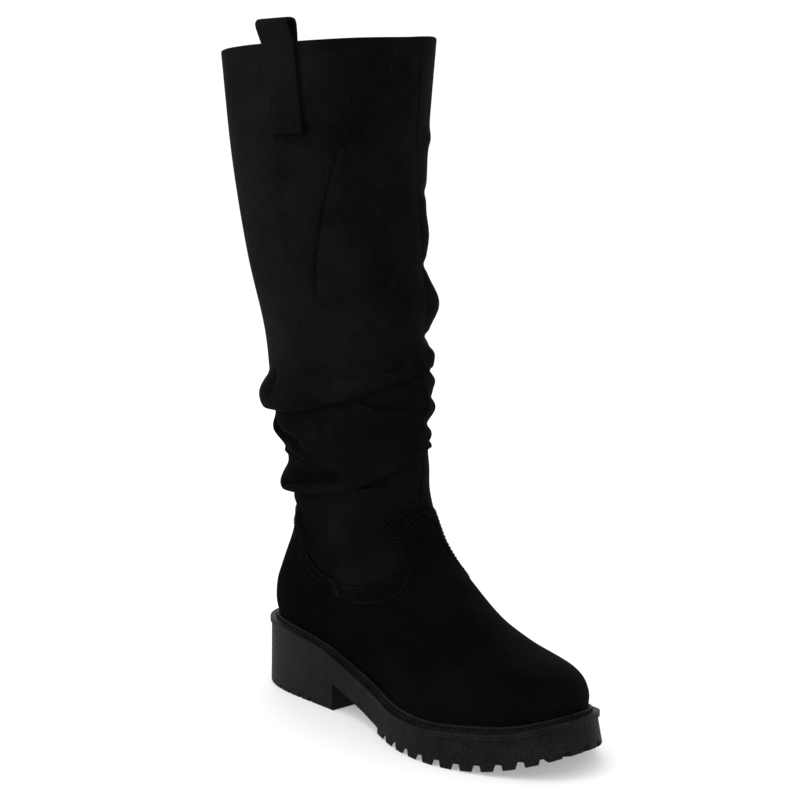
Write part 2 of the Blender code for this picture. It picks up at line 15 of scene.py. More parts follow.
import bmesh
import bpy
import numpy as np
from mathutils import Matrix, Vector


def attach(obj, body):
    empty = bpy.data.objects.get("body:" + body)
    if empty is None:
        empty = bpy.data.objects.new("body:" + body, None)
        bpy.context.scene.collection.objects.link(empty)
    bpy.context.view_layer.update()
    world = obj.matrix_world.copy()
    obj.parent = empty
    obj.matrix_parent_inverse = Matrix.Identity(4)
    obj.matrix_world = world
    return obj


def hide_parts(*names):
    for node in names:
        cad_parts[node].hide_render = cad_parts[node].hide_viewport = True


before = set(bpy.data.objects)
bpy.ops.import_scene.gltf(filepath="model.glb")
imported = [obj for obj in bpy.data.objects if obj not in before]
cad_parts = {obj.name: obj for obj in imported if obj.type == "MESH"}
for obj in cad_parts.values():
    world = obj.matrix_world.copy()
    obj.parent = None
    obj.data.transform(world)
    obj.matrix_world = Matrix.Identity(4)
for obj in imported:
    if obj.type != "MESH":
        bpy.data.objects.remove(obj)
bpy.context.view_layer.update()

LOG = logging.getLogger("slouch_boot")
MM = 0.001
ORIGIN = np.array((130.5, -12.8, 0.0))
RING_ANGLES = (0.0, 45.0, 90.0, 120.0, 150.0, 180.0, 215.0, 270.0, 315.0)

Array = np.ndarray
Surface = Callable[[Array, Array], Array]
Pair = tuple[float, float]
Triple = tuple[float, float, float]
Ring = tuple[float, ...]
Route = tuple[Pair, ...]
Faces = list[tuple[int, ...]]


def unit(vectors: Array) -> Array:
    """Vectors of length one with the same directions."""
    return vectors / np.linalg.norm(vectors, axis=-1, keepdims=True)


def smooth_step(share: Array) -> Array:
    """Soft change from 0 to 1 as the share goes from 0 to 1."""
    t = np.clip(share, 0.0, 1.0)
    return t * t * (3 - 2 * t)


def curve(knots: Sequence[float], values: Sequence[float], at: Array) -> Array:
    """Smooth curve through a table, made of cubic pieces that share their slopes.

    Args:
        knots: Places of the table's rows, rising.
        values: Value of each row.
        at: Places to work the curve out at; past the ends it stays level.

    Returns:
        The curve's values.
    """
    places = np.asarray(knots, float)
    heights = np.asarray(values, float)
    slopes = np.gradient(heights, places)
    piece = np.clip(np.searchsorted(places, at) - 1, 0, len(places) - 2)
    span = places[piece + 1] - places[piece]
    t = np.clip((at - places[piece]) / span, 0.0, 1.0)
    start = (2 * t**3 - 3 * t**2 + 1) * heights[piece] + (t**3 - 2 * t**2 + t) * span * slopes[piece]
    end = (3 * t**2 - 2 * t**3) * heights[piece + 1] + (t**3 - t**2) * span * slopes[piece + 1]
    return start + end


def around(ring: Ring, angle: Array) -> Array:
    """Smooth value round the boot.

    Args:
        ring: Values at the ring angles, from the back over the outer side, front and inner side.
        angle: Angles round the boot, in degrees.

    Returns:
        The value at each angle.
    """
    knots = (RING_ANGLES[-1] - 360.0, *RING_ANGLES, 360.0, 360.0 + RING_ANGLES[1])
    return curve(knots, (ring[-1], *ring, ring[0], ring[1]), np.asarray(angle, float) % 360.0)


def along_route(route: Route, samples: int) -> tuple[Array, Array]:
    """Smooth line through a route on the skin.

    Args:
        route: Angles and levels to pass through.
        samples: Number of points on the line.

    Returns:
        The angles and the levels.
    """
    share = np.linspace(0.0, 1.0, samples)
    knots = np.linspace(0.0, 1.0, len(route))
    angles, levels = zip(*route)
    return curve(knots, angles, share), curve(knots, levels, share)


def band_faces(rows: int, count: int, joined: bool, first: int = 0) -> Faces:
    """Quads between rows of points that each run once round.

    Args:
        rows: Number of rows.
        count: Points in each row.
        joined: Whether the last row joins the first.
        first: Number of the first point.

    Returns:
        The faces.
    """
    last = rows if joined else rows - 1
    here = np.arange(last)[:, None] * count + np.arange(count)[None, :]
    beside = np.arange(last)[:, None] * count + (np.arange(count)[None, :] + 1) % count
    above = (here + count) % (rows * count)
    above_beside = (beside + count) % (rows * count)
    quads = np.stack([here, beside, above_beside, above], -1).reshape(-1, 4) + first
    return [tuple(quad) for quad in quads.tolist()]


def ladder_faces(first: int, count: int) -> Faces:
    """Faces that close an outline, rung by rung from the heel to the toe.

    Args:
        first: Number of the outline's first point.
        count: Points in the outline.

    Returns:
        The faces.
    """
    half = count // 2
    faces: Faces = [(first, first + 1, first + count - 1)]
    for i in range(1, half - 1):
        faces.append((first + i, first + i + 1, first + count - i - 1, first + count - i))
    faces.append((first + half - 1, first + half, first + half + 1))
    return faces


@dataclass(frozen=True)
class Roll:
    """Slouch roll: its lower crease and stand-out round the boot, its overhang and its sag."""

    crease: Ring
    push: Ring
    lip: float
    sag: float = 1.0


@dataclass(frozen=True)
class Pucker:
    """Swelling beside the gathered front seam: its middle, its spread and its stand-out."""

    angle: float
    level: float
    angle_spread: float
    level_spread: float
    push: float


@dataclass(frozen=True)
class BootForm:
    """The boot's main form: the last's plan, the sole's heights, and the skin with its slouch rolls."""

    length: float = 268.0
    ledge: float = 7.0
    collar_level: float = 15.0
    spring_start: float = 208.0
    toe_spring: float = 13.4
    toe_ledge: float = 0.3
    toe_ledge_start: float = 205.0
    station: tuple[float, ...] = (0.00, 0.08, 0.20, 0.36, 0.50, 0.62, 0.74, 0.86, 0.95, 1.00)
    outer: tuple[float, ...] = (50.0, 42.0, 33.0, 29.0, 33.0, 43.5, 51.5, 52.0, 52.0, 53.0)
    inner: tuple[float, ...] = (49.5, 41.5, 33.5, 27.0, 29.5, 37.5, 45.0, 53.0, 56.0, 54.0)
    sole_x: tuple[float, ...] = (0.0, 39.0, 78.0, 112.0, 145.0, 180.0, 213.0, 243.0, 268.0)
    sole_z: tuple[float, ...] = (43.0, 42.0, 36.5, 27.0, 19.5, 18.0, 20.5, 24.5, 32.6)
    columns: tuple[str, ...] = (
        "back_x", "back_z", "front_x", "front_z", "plan", "grow", "oval", "centre", "bow")
    sections: tuple[tuple[float, ...], ...] = (
        (7.0, 43.0, 261.0, 29.9, 1.00, 0.0, 31.0, 0.0, 1.00),
        (5.0, 55.0, 262.0, 44.0, 1.00, 2.6, 31.0, -1.0, 0.90),
        (5.5, 68.0, 252.0, 53.5, 0.96, 1.8, 31.0, -0.8, 0.75),
        (10.0, 79.5, 220.5, 59.0, 0.80, 2.2, 29.0, -0.4, 0.55),
        (13.5, 90.0, 191.5, 68.5, 0.60, 2.4, 29.0, 0.8, 0.35),
        (17.0, 100.0, 168.5, 82.5, 0.42, 2.4, 29.5, 2.0, 0.20),
        (19.5, 108.5, 146.0, 100.5, 0.27, 2.4, 29.6, 2.5, 0.10),
        (22.0, 118.5, 133.0, 122.0, 0.15, 2.4, 29.8, 2.2, 0.00),
        (20.0, 130.0, 128.0, 144.5, 0.06, 2.4, 30.5, 1.4, 0.00),
        (19.0, 145.5, 129.0, 166.5, 0.00, 2.4, 32.0, 0.0, 0.00),
        (15.0, 167.0, 131.5, 188.5, 0.00, 2.4, 36.5, -2.8, 0.00),
        (11.5, 194.0, 129.5, 212.0, 0.00, 2.4, 40.5, -4.2, 0.00),
        (8.5, 233.0, 127.0, 246.0, 0.00, 2.4, 43.8, -4.6, 0.00),
        (1.0, 281.0, 124.0, 290.5, 0.00, 2.4, 50.5, -7.4, 0.00),
        (-4.4, 339.5, 123.8, 348.0, 0.00, 2.4, 57.3, -9.8, 0.00),
        (-8.8, 402.6, 130.0, 412.5, 0.00, 2.4, 62.8, -11.0, 0.00),
    )
    rolls: tuple[Roll, ...] = (
        Roll((7.20, 7.06, 7.10, 7.34, 7.66, 7.80, 7.72, 7.45, 7.34),
             (0.8, 0.8, 0.8, 0.8, 0.8, 0.8, 0.9, 1.0, 0.9), 0.0),
        Roll((7.95, 7.93, 7.92, 8.06, 8.46, 8.88, 9.02, 8.60, 8.12),
             (9.2, 8.2, 5.4, 3.2, 1.6, 1.4, 2.4, 3.6, 6.6), 0.85, 0.6),
        Roll((9.26, 9.24, 8.62, 8.50, 8.80, 9.12, 9.24, 9.05, 9.20),
             (1.2, 1.2, 0.9, 0.8, 0.8, 1.0, 1.2, 1.4, 1.4), 0.0),
        Roll((9.55, 9.50, 8.95, 9.15, 9.45, 9.70, 9.74, 9.75, 9.68),
             (4.8, 3.9, 2.0, 1.8, 2.2, 2.8, 3.0, 3.6, 4.2), 0.0),
        Roll((10.52, 10.56, 10.50, 10.62, 10.84, 11.04, 11.08, 10.92, 10.66),
             (9.4, 8.4, 6.0, 5.2, 4.2, 3.2, 3.2, 3.8, 6.6), 0.9),
    )
    rolls_end: Ring = (11.42, 11.36, 11.24, 11.24, 11.32, 11.46, 11.56, 11.60, 11.50)
    lip_share: tuple[float, ...] = (0.0, 0.08, 0.16, 0.26, 0.42, 0.60, 0.80, 0.92, 1.0)
    lip_out: tuple[float, ...] = (0.0, 0.42, 0.72, 0.90, 1.00, 0.94, 0.52, 0.12, 0.0)
    lip_rise: tuple[float, ...] = (0.0, -0.015, -0.010, 0.05, 0.24, 0.48, 0.74, 0.90, 1.0)
    collar_wave: Ring = (1.0, 1.4, 0.4, -0.5, -0.5, -0.2, 2.0, 1.0, 0.4)
    puckers: tuple[Pucker, ...] = (
        Pucker(232.0, 12.22, 42.0, 0.52, 8.0),
        Pucker(230.0, 13.10, 34.0, 0.32, 2.0),
        Pucker(230.0, 10.88, 34.0, 0.30, 4.0),
        Pucker(228.0, 10.10, 34.0, 0.30, 2.0),
    )
    seam_angle: tuple[float, ...] = (
        0.0, 30.0, 42.0, 50.0, 60.0, 78.0, 93.0, 110.0, 123.0, 133.0, 142.0, 148.0, 151.0, 153.0, 158.0,
        166.0, 180.0)
    seam_height: tuple[float, ...] = (
        6.55, 6.50, 6.10, 5.10, 4.20, 3.98, 4.36, 4.71, 5.02, 5.32, 5.64, 5.98, 6.40, 6.85, 7.10,
        7.28, 7.43)
    angle_step: float = 0.5
    level_step: float = 0.01
    shift_rounds: int = 3

    def sole_top(self, x: Array) -> Array:
        """Height of the sole's top face."""
        return curve(self.sole_x, self.sole_z, np.clip(x, 0.0, self.length))

    def sole_floor(self, x: Array) -> Array:
        """Height of the sole's underside: flat on the floor, then curved up to the toe."""
        rise = np.clip((x - self.spring_start) / (self.length - self.spring_start), 0.0, None)
        return self.toe_spring * rise**2

    def toe_widening(self, x: Array) -> Array:
        """Extra width of the sole's ledge towards the toe."""
        share = (x - self.toe_ledge_start) / (self.length - self.toe_ledge_start)
        return self.toe_ledge * np.clip(share, 0.0, 1.0)

    def half_width(self, along: Array, sine: Array) -> Array:
        """Half width of the last's bottom on the side that the sine of the angle gives."""
        outer = curve(self.station, self.outer, along)
        inner = curve(self.station, self.inner, along)
        return sine * np.where(sine >= 0, outer, inner)

    def plan_edge(self, angle: Array, grow: Union[float, Array]) -> Array:
        """Points of the last's bottom edge in plan.

        Args:
            angle: Angles round the boot, in degrees.
            grow: Margin that the points are moved out by, in millimetres.

        Returns:
            The points' x and y.
        """
        def edge(turn: Array) -> Array:
            """Edge of the last itself."""
            along = (1 - np.cos(turn)) / 2
            x = self.ledge + along * (self.length - 2 * self.ledge)
            return np.stack([x, -self.half_width(along, np.sin(turn))], -1)

        turn = np.radians(angle)
        step = 1e-3
        run = unit(edge(turn + step) - edge(turn - step))
        outward = np.stack([run[..., 1], -run[..., 0]], -1)
        return edge(turn) + np.broadcast_to(grow, turn.shape)[..., None] * outward

    def smooth_skin(self, angle: Array, level: Array) -> Array:
        """Skin of foot and shaft without the rolls.

        Args:
            angle: Angles round the boot, in degrees.
            level: Levels up the boot.

        Returns:
            The points, in millimetres.
        """
        rows = np.array(self.sections)
        levels = np.arange(len(rows))
        s = {name: curve(levels, rows[:, i], level) for i, name in enumerate(self.columns)}
        along = (1 - np.cos(np.radians(angle))) / 2
        sine = np.sin(np.radians(angle))
        x = s["back_x"] + along * (s["front_x"] - s["back_x"])
        straight = self.sole_z[0] + along * (self.sections[0][3] - self.sole_z[0])
        bow = self.sole_top(self.ledge + along * (self.length - 2 * self.ledge)) - straight
        z = s["back_z"] + along * (s["front_z"] - s["back_z"]) + s["bow"] * bow
        foot = self.half_width(along, sine) + sine * s["grow"]
        y = s["centre"] - s["plan"] * foot - (1 - s["plan"]) * sine * s["oval"]
        return np.stack(np.broadcast_arrays(x, y, z), -1)

    def normal_of(self, surface: Surface, angle: Array, level: Array) -> Array:
        """Unit normals, out of the boot, of a surface that an angle and a level give.

        Args:
            surface: Function from angles and levels to points.
            angle: Angles round the boot, in degrees.
            level: Levels up the boot.

        Returns:
            The unit normals.
        """
        run = surface(angle + self.angle_step, level) - surface(angle - self.angle_step, level)
        top = np.minimum(level + self.level_step, self.collar_level)
        low = np.maximum(level - self.level_step, 0.0)
        return unit(np.cross(run, surface(angle, top) - surface(angle, low)))

    def smooth_normal(self, angle: Array, level: Array) -> Array:
        """Unit normal of the skin without the rolls."""
        return self.normal_of(self.smooth_skin, angle, level)

    def outward(self, angle: Array, level: Array) -> Array:
        """Level direction straight out of a section."""
        ahead = self.smooth_skin(angle + self.angle_step, level)
        run = ahead - self.smooth_skin(angle - self.angle_step, level)
        return unit(np.stack([run[..., 1], -run[..., 0], np.zeros_like(run[..., 0])], -1))

    def creases(self) -> list[Ring]:
        """Creases of the rolls from the lowest up, with the end of the last roll."""
        return [roll.crease for roll in self.rolls] + [self.rolls_end]

    def skin(self, angle: Array, level: Array) -> Array:
        """Skin of foot and shaft with the slouch rolls and the swellings beside the front seam.

        Args:
            angle: Angles round the boot, in degrees.
            level: Levels up the boot.

        Returns:
            The points, in millimetres.
        """
        angle, level = np.broadcast_arrays(np.asarray(angle, float), np.asarray(level, float))
        climbed = level.astype(float)
        out = np.zeros_like(climbed)
        creases = self.creases()
        for lower, upper, roll in zip(creases, creases[1:], self.rolls):
            low, high = around(lower, angle), around(upper, angle)
            share = np.clip((level - low) / (high - low), 0.0, 1.0)
            belly = (1 - roll.lip) * (1 - np.cos(2 * np.pi * share)) / 2
            belly = belly + roll.lip * curve(self.lip_share, self.lip_out, share**roll.sag)
            out = out + around(roll.push, angle) * belly
            gain = curve(self.lip_share, self.lip_rise, share) - share
            climbed = climbed + roll.lip * (high - low) * gain
        outward = self.outward(angle, climbed)
        point = self.smooth_skin(angle, climbed) + out[..., None] * outward
        point[..., 2] += self.collar_lift(angle, level)
        for pucker in self.puckers:
            turn = np.clip(np.abs(angle - pucker.angle) / pucker.angle_spread, 0.0, 1.0)
            climb = np.clip(np.abs(level - pucker.level) / pucker.level_spread, 0.0, 1.0)
            out = pucker.push * np.cos(np.pi / 2 * turn) ** 2 * np.cos(np.pi / 2 * climb) ** 2
            point = point + out[..., None] * outward
        return point

    def collar_lift(self, angle: Array, level: Array) -> Array:
        """Rise of the collar's uneven edge."""
        return around(self.collar_wave, angle) * smooth_step(level - (self.collar_level - 1.0))

    def normal(self, angle: Array, level: Array) -> Array:
        """Unit normal of the skin, out of the boot."""
        return self.normal_of(self.skin, angle, level)

    def raised(self, angle: Array, level: Array, out: Union[float, Array]) -> Array:
        """Points of the skin moved out along its normal."""
        return self.skin(angle, level) + np.asarray(out, float)[..., None] * self.normal(angle, level)

    def seam_level(self, angle: Array) -> Array:
        """Level of the seam between foot and shaft, the same on both sides of the boot."""
        folded = np.abs((np.asarray(angle, float) + 180.0) % 360.0 - 180.0)
        return curve(self.seam_angle, self.seam_height, folded)

    def level_shift(self, angle: Array, level: Array, distance: float) -> Array:
        """Change of level that moves a skin point by a distance up the boot."""
        above = self.smooth_skin(angle, level + self.level_step)
        rise = above - self.smooth_skin(angle, level - self.level_step)
        return distance * 2 * self.level_step / np.linalg.norm(rise, axis=-1)

    def shifted(self, angle: Array, level: Array, move: Array) -> tuple[Array, Array]:
        """Angle and level of the skin points that lie a small move away from others.

        Args:
            angle: Angles of the points.
            level: Levels of the points.
            move: Move of each point, in millimetres.

        Returns:
            The new angles and levels.
        """
        a, v = self.angle_step, self.level_step
        start = self.skin(angle, level)
        new_angle, new_level = angle, level
        for _ in range(self.shift_rounds):
            by_angle = self.skin(new_angle + a, new_level) - self.skin(new_angle - a, new_level)
            by_level = self.skin(new_angle, new_level + v) - self.skin(new_angle, new_level - v)
            missing = start + move - self.skin(new_angle, new_level)
            inverse = np.linalg.pinv(np.stack([by_angle / (2 * a), by_level / (2 * v)], -1))
            change = np.einsum("nij,nj->ni", inverse, missing)
            new_angle = new_angle + change[:, 0]
            new_level = np.clip(new_level + change[:, 1], 0.0, self.collar_level)
        return new_angle, new_level

    def beside_line(self, angle: Array, level: Array, across: float) -> tuple[Array, Array]:
        """Angle and level of the points at a distance beside a line on the skin.

        Args:
            angle: Angles along the line.
            level: Levels along the line.
            across: Distance to the side that is above a line running forwards on the outer side.

        Returns:
            The new angles and levels.
        """
        line = self.skin(angle, level)
        along = unit(np.gradient(line, axis=0))
        side = unit(np.cross(self.normal(angle, level), along))
        return self.shifted(angle, level, across * side)


@dataclass(frozen=True)
class Crease:
    """Soft trough, or with a depth below zero a ridge, along a route of angles and levels on the skin.

    The widths are those of the sides over and under a route that runs forwards on the outer side, and of
    the front and back sides of a route that runs down it. The trough fades in and out over shares of its
    length.
    """

    route: Route
    depth: float
    over: float
    under: float
    fade_in: float = 0.25
    fade_out: float = 0.25
    samples: int = 64
    reach_widths: float = 3.0

    def line(self) -> tuple[Array, Array]:
        """Angles and levels along the route."""
        return along_route(self.route, self.samples)

    def lift(self, form: BootForm, points: Array) -> Array:
        """How far the crease moves points of the smooth skin out.

        Args:
            form: The boot's form.
            points: Points of the skin without its rolls, one to a row.

        Returns:
            The move of each point along its normal, below zero in a trough.
        """
        angle, level = self.line()
        line = form.smooth_skin(angle, level)
        along = unit(np.gradient(line, axis=0))
        side = unit(np.cross(form.smooth_normal(angle, level), along))
        reach = self.reach_widths * max(self.over, self.under)
        near = np.all((points > line.min(0) - reach) & (points < line.max(0) + reach), axis=1)
        moved = np.zeros(len(points))
        if not near.any():
            return moved
        gaps = points[near][:, None, :] - line[None]
        nearest = (gaps**2).sum(-1).argmin(1)
        gap = gaps[np.arange(len(nearest)), nearest]
        past = (gap * along[nearest]).sum(-1)
        inside = (nearest > 0) & (nearest < self.samples - 1)
        squared = (gap**2).sum(-1) - np.where(inside, past**2, 0.0)
        width = np.where((gap * side[nearest]).sum(-1) > 0, self.over, self.under)
        total = np.linalg.norm(np.diff(line, axis=0), axis=1).sum()
        share = nearest / (self.samples - 1) + past / total
        fade = smooth_step(share / self.fade_in) * smooth_step((1 - share) / self.fade_out)
        moved[near] = -self.depth * fade * np.exp(-squared / width**2)
        return moved


@dataclass(frozen=True)
class FoldedSkin:
    """The boot's skin with creases pressed into it."""

    form: BootForm
    creases: tuple[Crease, ...]

    def lift(self, angle: Array, level: Array) -> Array:
        """How far the creases move the skin out, one number for each point.

        Args:
            angle: Angles round the boot, in degrees.
            level: Levels up the boot.

        Returns:
            The move of each point along its normal.
        """
        points = self.form.smooth_skin(angle, level).reshape(-1, 3)
        total = np.zeros(len(points))
        for crease in self.creases:
            total += crease.lift(self.form, points)
        return total.reshape(np.shape(angle))

    def point(self, angle: Array, level: Array, out: float = 0.0) -> Array:
        """Points of the folded skin, moved out by a distance."""
        return self.form.raised(angle, level, self.lift(angle, level) + out)


Colour = Triple


def opaque(colour: Colour) -> tuple[float, float, float, float]:
    """Colour with full cover."""
    return (*colour, 1.0)


@dataclass(frozen=True)
class Grain:
    """Cloudy noise: size of its spots in metres, its detail and its roughness."""

    size: float
    detail: float
    roughness: float


@dataclass(frozen=True)
class Relief:
    """Fine relief of a surface: its depth in metres and its strength."""

    depth: float
    strength: float


class Value:
    """A shader socket that takes part in Python arithmetic by adding Math nodes."""

    def __init__(self, board: "Board", socket: bpy.types.NodeSocket) -> None:
        """Keep the socket and the board that it is on."""
        self.board = board
        self.socket = socket

    def math(self, operation: str, first: Any, second: Any = 0.0) -> "Value":
        """Result of a Math node."""
        return self.board.add("ShaderNodeMath", {"operation": operation}, {0: first, 1: second})

    def __add__(self, other: Any) -> "Value":
        """Sum."""
        return self.math("ADD", self, other)

    __radd__ = __add__

    def __sub__(self, other: Any) -> "Value":
        """Difference."""
        return self.math("SUBTRACT", self, other)

    def __rsub__(self, other: Any) -> "Value":
        """Difference from a number."""
        return self.math("SUBTRACT", other, self)

    def __mul__(self, other: Any) -> "Value":
        """Product."""
        return self.math("MULTIPLY", self, other)

    __rmul__ = __mul__

    def __gt__(self, other: Any) -> "Value":
        """One where the value is greater, else nought."""
        return self.math("GREATER_THAN", self, other)

    def __lt__(self, other: Any) -> "Value":
        """One where the value is less, else nought."""
        return self.math("LESS_THAN", self, other)

    def between(self, low: float, high: float) -> "Value":
        """Soft change from 0 at the low value to 1 at the high one."""
        sockets = {"Value": self, "From Min": low, "From Max": high}
        return self.board.add("ShaderNodeMapRange", {"interpolation_type": "SMOOTHSTEP"}, sockets)


class Board:
    """Node tree of one material, with its Principled shader."""

    def __init__(self, name: str) -> None:
        """Make the material and find its shader.

        Args:
            name: Name of the material.
        """
        self.material = bpy.data.materials.new(name)
        self.material.use_nodes = True
        self.tree = self.material.node_tree
        self.shader = self.tree.nodes["Principled BSDF"]

    @staticmethod
    def pick(sockets: Any, key: Union[str, int]) -> bpy.types.NodeSocket:
        """Socket by its number, its identifier or its name."""
        if isinstance(key, int):
            return sockets[key]
        return next((s for s in sockets if s.identifier == key), None) or sockets[key]

    def add(self, kind: str, settings: dict[str, Any], sockets: dict[Union[str, int], Any],
            out: Union[str, int] = 0) -> Value:
        """Add a node.

        Args:
            kind: Type of the node.
            settings: Its settings, set before its sockets.
            sockets: Values or links of its input sockets, by name, identifier or number.
            out: Output socket to hand back.

        Returns:
            The output as a value.
        """
        node = self.tree.nodes.new(kind)
        for name, setting in settings.items():
            setattr(node, name, setting)
        for key, value in sockets.items():
            self.feed(self.pick(node.inputs, key), value)
        return Value(self, self.pick(node.outputs, out))

    def feed(self, socket: bpy.types.NodeSocket, value: Any) -> None:
        """Link a value to a socket, or set a number or colour on it.

        Args:
            socket: Socket to fill.
            value: A value to link, or a number or colour to set.
        """
        if isinstance(value, Value):
            self.tree.links.new(value.socket, socket)
        else:
            socket.default_value = value

    def place(self) -> Value:
        """Place on the object, in metres."""
        return self.add("ShaderNodeTexCoord", {}, {}, "Object")

    def stretched(self, place: Value, scale: Triple) -> Value:
        """Place stretched by a factor along each axis."""
        return self.add("ShaderNodeVectorMath", {"operation": "MULTIPLY"}, {0: place, 1: scale})

    def axis(self, place: Value, name: str) -> Value:
        """One coordinate of a place."""
        return self.add("ShaderNodeSeparateXYZ", {}, {"Vector": place}, name)

    def noise(self, place: Value, grain: Grain) -> Value:
        """Cloudy noise over a surface."""
        sockets = {"Vector": place, "Scale": 1.0 / grain.size, "Detail": grain.detail,
                   "Roughness": grain.roughness}
        return self.add("ShaderNodeTexNoise", {}, sockets)

    def mix(self, factor: Value, first: Union[Value, Colour], second: Colour) -> Value:
        """Colour between two colours."""
        start = first if isinstance(first, Value) else opaque(first)
        sockets = {"Factor_Float": factor, "A_Color": start, "B_Color": opaque(second)}
        return self.add("ShaderNodeMix", {"data_type": "RGBA"}, sockets, "Result_Color")

    def bump(self, height: Value, relief: Relief) -> Value:
        """Normal of a surface with a fine relief."""
        sockets = {"Height": height, "Distance": relief.depth, "Strength": relief.strength}
        return self.add("ShaderNodeBump", {}, sockets)

    def dress(self, links: dict[str, Value], constants: dict[str, Any]) -> bpy.types.Material:
        """Feed the shader.

        Args:
            links: What varies over the surface, by the shader's sockets.
            constants: What is the same all over, by the shader's sockets.

        Returns:
            The material.
        """
        for name, value in constants.items():
            self.shader.inputs[name].default_value = value
        for name, value in links.items():
            self.feed(self.shader.inputs[name], value)
        return self.material


@dataclass(frozen=True)
class Suede:
    """Brushed suede-like microfibre: a dark nap in soft patches, short fibres and a little lint.

    Painted shade darkens the colour below a tilted line under the top roll, and further towards the back.
    """

    name: str
    deep: Colour = (0.0008, 0.0008, 0.0008)
    brushed: Colour = (0.0050, 0.0050, 0.0050)
    lint: Colour = (0.065, 0.065, 0.065)
    patches: Grain = Grain(0.042, 2.0, 0.55)
    mottle: Grain = Grain(0.0065, 3.0, 0.6)
    fibre: Grain = Grain(0.00055, 2.0, 0.6)
    fibre_stretch: Triple = (1.0, 1.0, 0.45)
    nap_shares: Triple = (0.42, 0.16, 0.42)
    nap_range: Pair = (0.28, 0.72)
    lint_cell: float = 0.0028
    lint_radius: float = 0.062
    lint_drawn: float = 0.52
    lint_cover: float = 0.55
    # Painted shade: colour factor below the tilted line, the line's band and tilt, and the darker share
    # towards the back
    shade: float = 0.77
    shade_range: Pair = (0.196, 0.213)
    shade_tilt: float = 0.22
    back_shade: float = 0.20
    back: float = -0.085
    front: float = -0.035
    relief_shares: Pair = (0.65, 0.35)
    relief: Relief = Relief(0.00035, 0.45)
    roughness: float = 0.98
    nap_gloss: float = 0.12
    specular: float = 0.020
    sheen: float = 0.003
    sheen_roughness: float = 0.45
    sheen_tint: Colour = (0.9, 0.9, 0.92)

    def material(self) -> bpy.types.Material:
        """Make the material.

        Returns:
            The material.
        """
        board = Board(self.name)
        place = board.place()
        patches = board.noise(place, self.patches)
        mottle = board.noise(place, self.mottle)
        fibre = board.noise(board.stretched(place, self.fibre_stretch), self.fibre)
        along = board.axis(place, "X")
        # Painted shade: one above the tilted line, darker below it and towards the back
        above_shade_line = (board.axis(place, "Z") - along * self.shade_tilt).between(*self.shade_range)
        forward = along.between(self.back, self.front) * (1.0 - self.back_shade) + self.back_shade
        painted_shade_factor = above_shade_line + (1.0 - above_shade_line) * forward * self.shade
        patch_share, mottle_share, fibre_share = self.nap_shares
        nap = patches * patch_share + mottle * mottle_share + fibre * fibre_share
        # From here the nap also carries the painted shade
        nap = nap.between(*self.nap_range) * painted_shade_factor
        cells = {"Vector": place, "Scale": 1.0 / self.lint_cell}
        speck = board.add("ShaderNodeTexVoronoi", {}, cells, "Distance") < self.lint_radius
        lot = board.add("ShaderNodeTexVoronoi", {}, cells, "Color")
        drawn = board.add("ShaderNodeSeparateColor", {}, {"Color": lot}, "Red") > self.lint_drawn
        colour = board.mix(nap, self.deep, self.brushed)
        fibre_part, mottle_part = self.relief_shares
        links = {
            "Base Color": board.mix(speck * drawn * self.lint_cover, colour, self.lint),
            "Roughness": self.roughness - nap * self.nap_gloss,
            "Normal": board.bump(fibre * fibre_part + mottle * mottle_part, self.relief),
        }
        constants = {
            "Specular IOR Level": self.specular,
            "Sheen Weight": self.sheen,
            "Sheen Roughness": self.sheen_roughness,
            "Sheen Tint": opaque(self.sheen_tint),
        }
        return board.dress(links, constants)


class Moulding(Enum):
    """Surface that the sole's mould leaves."""

    PEBBLED = "pebbled"
    SMOOTH = "smooth"


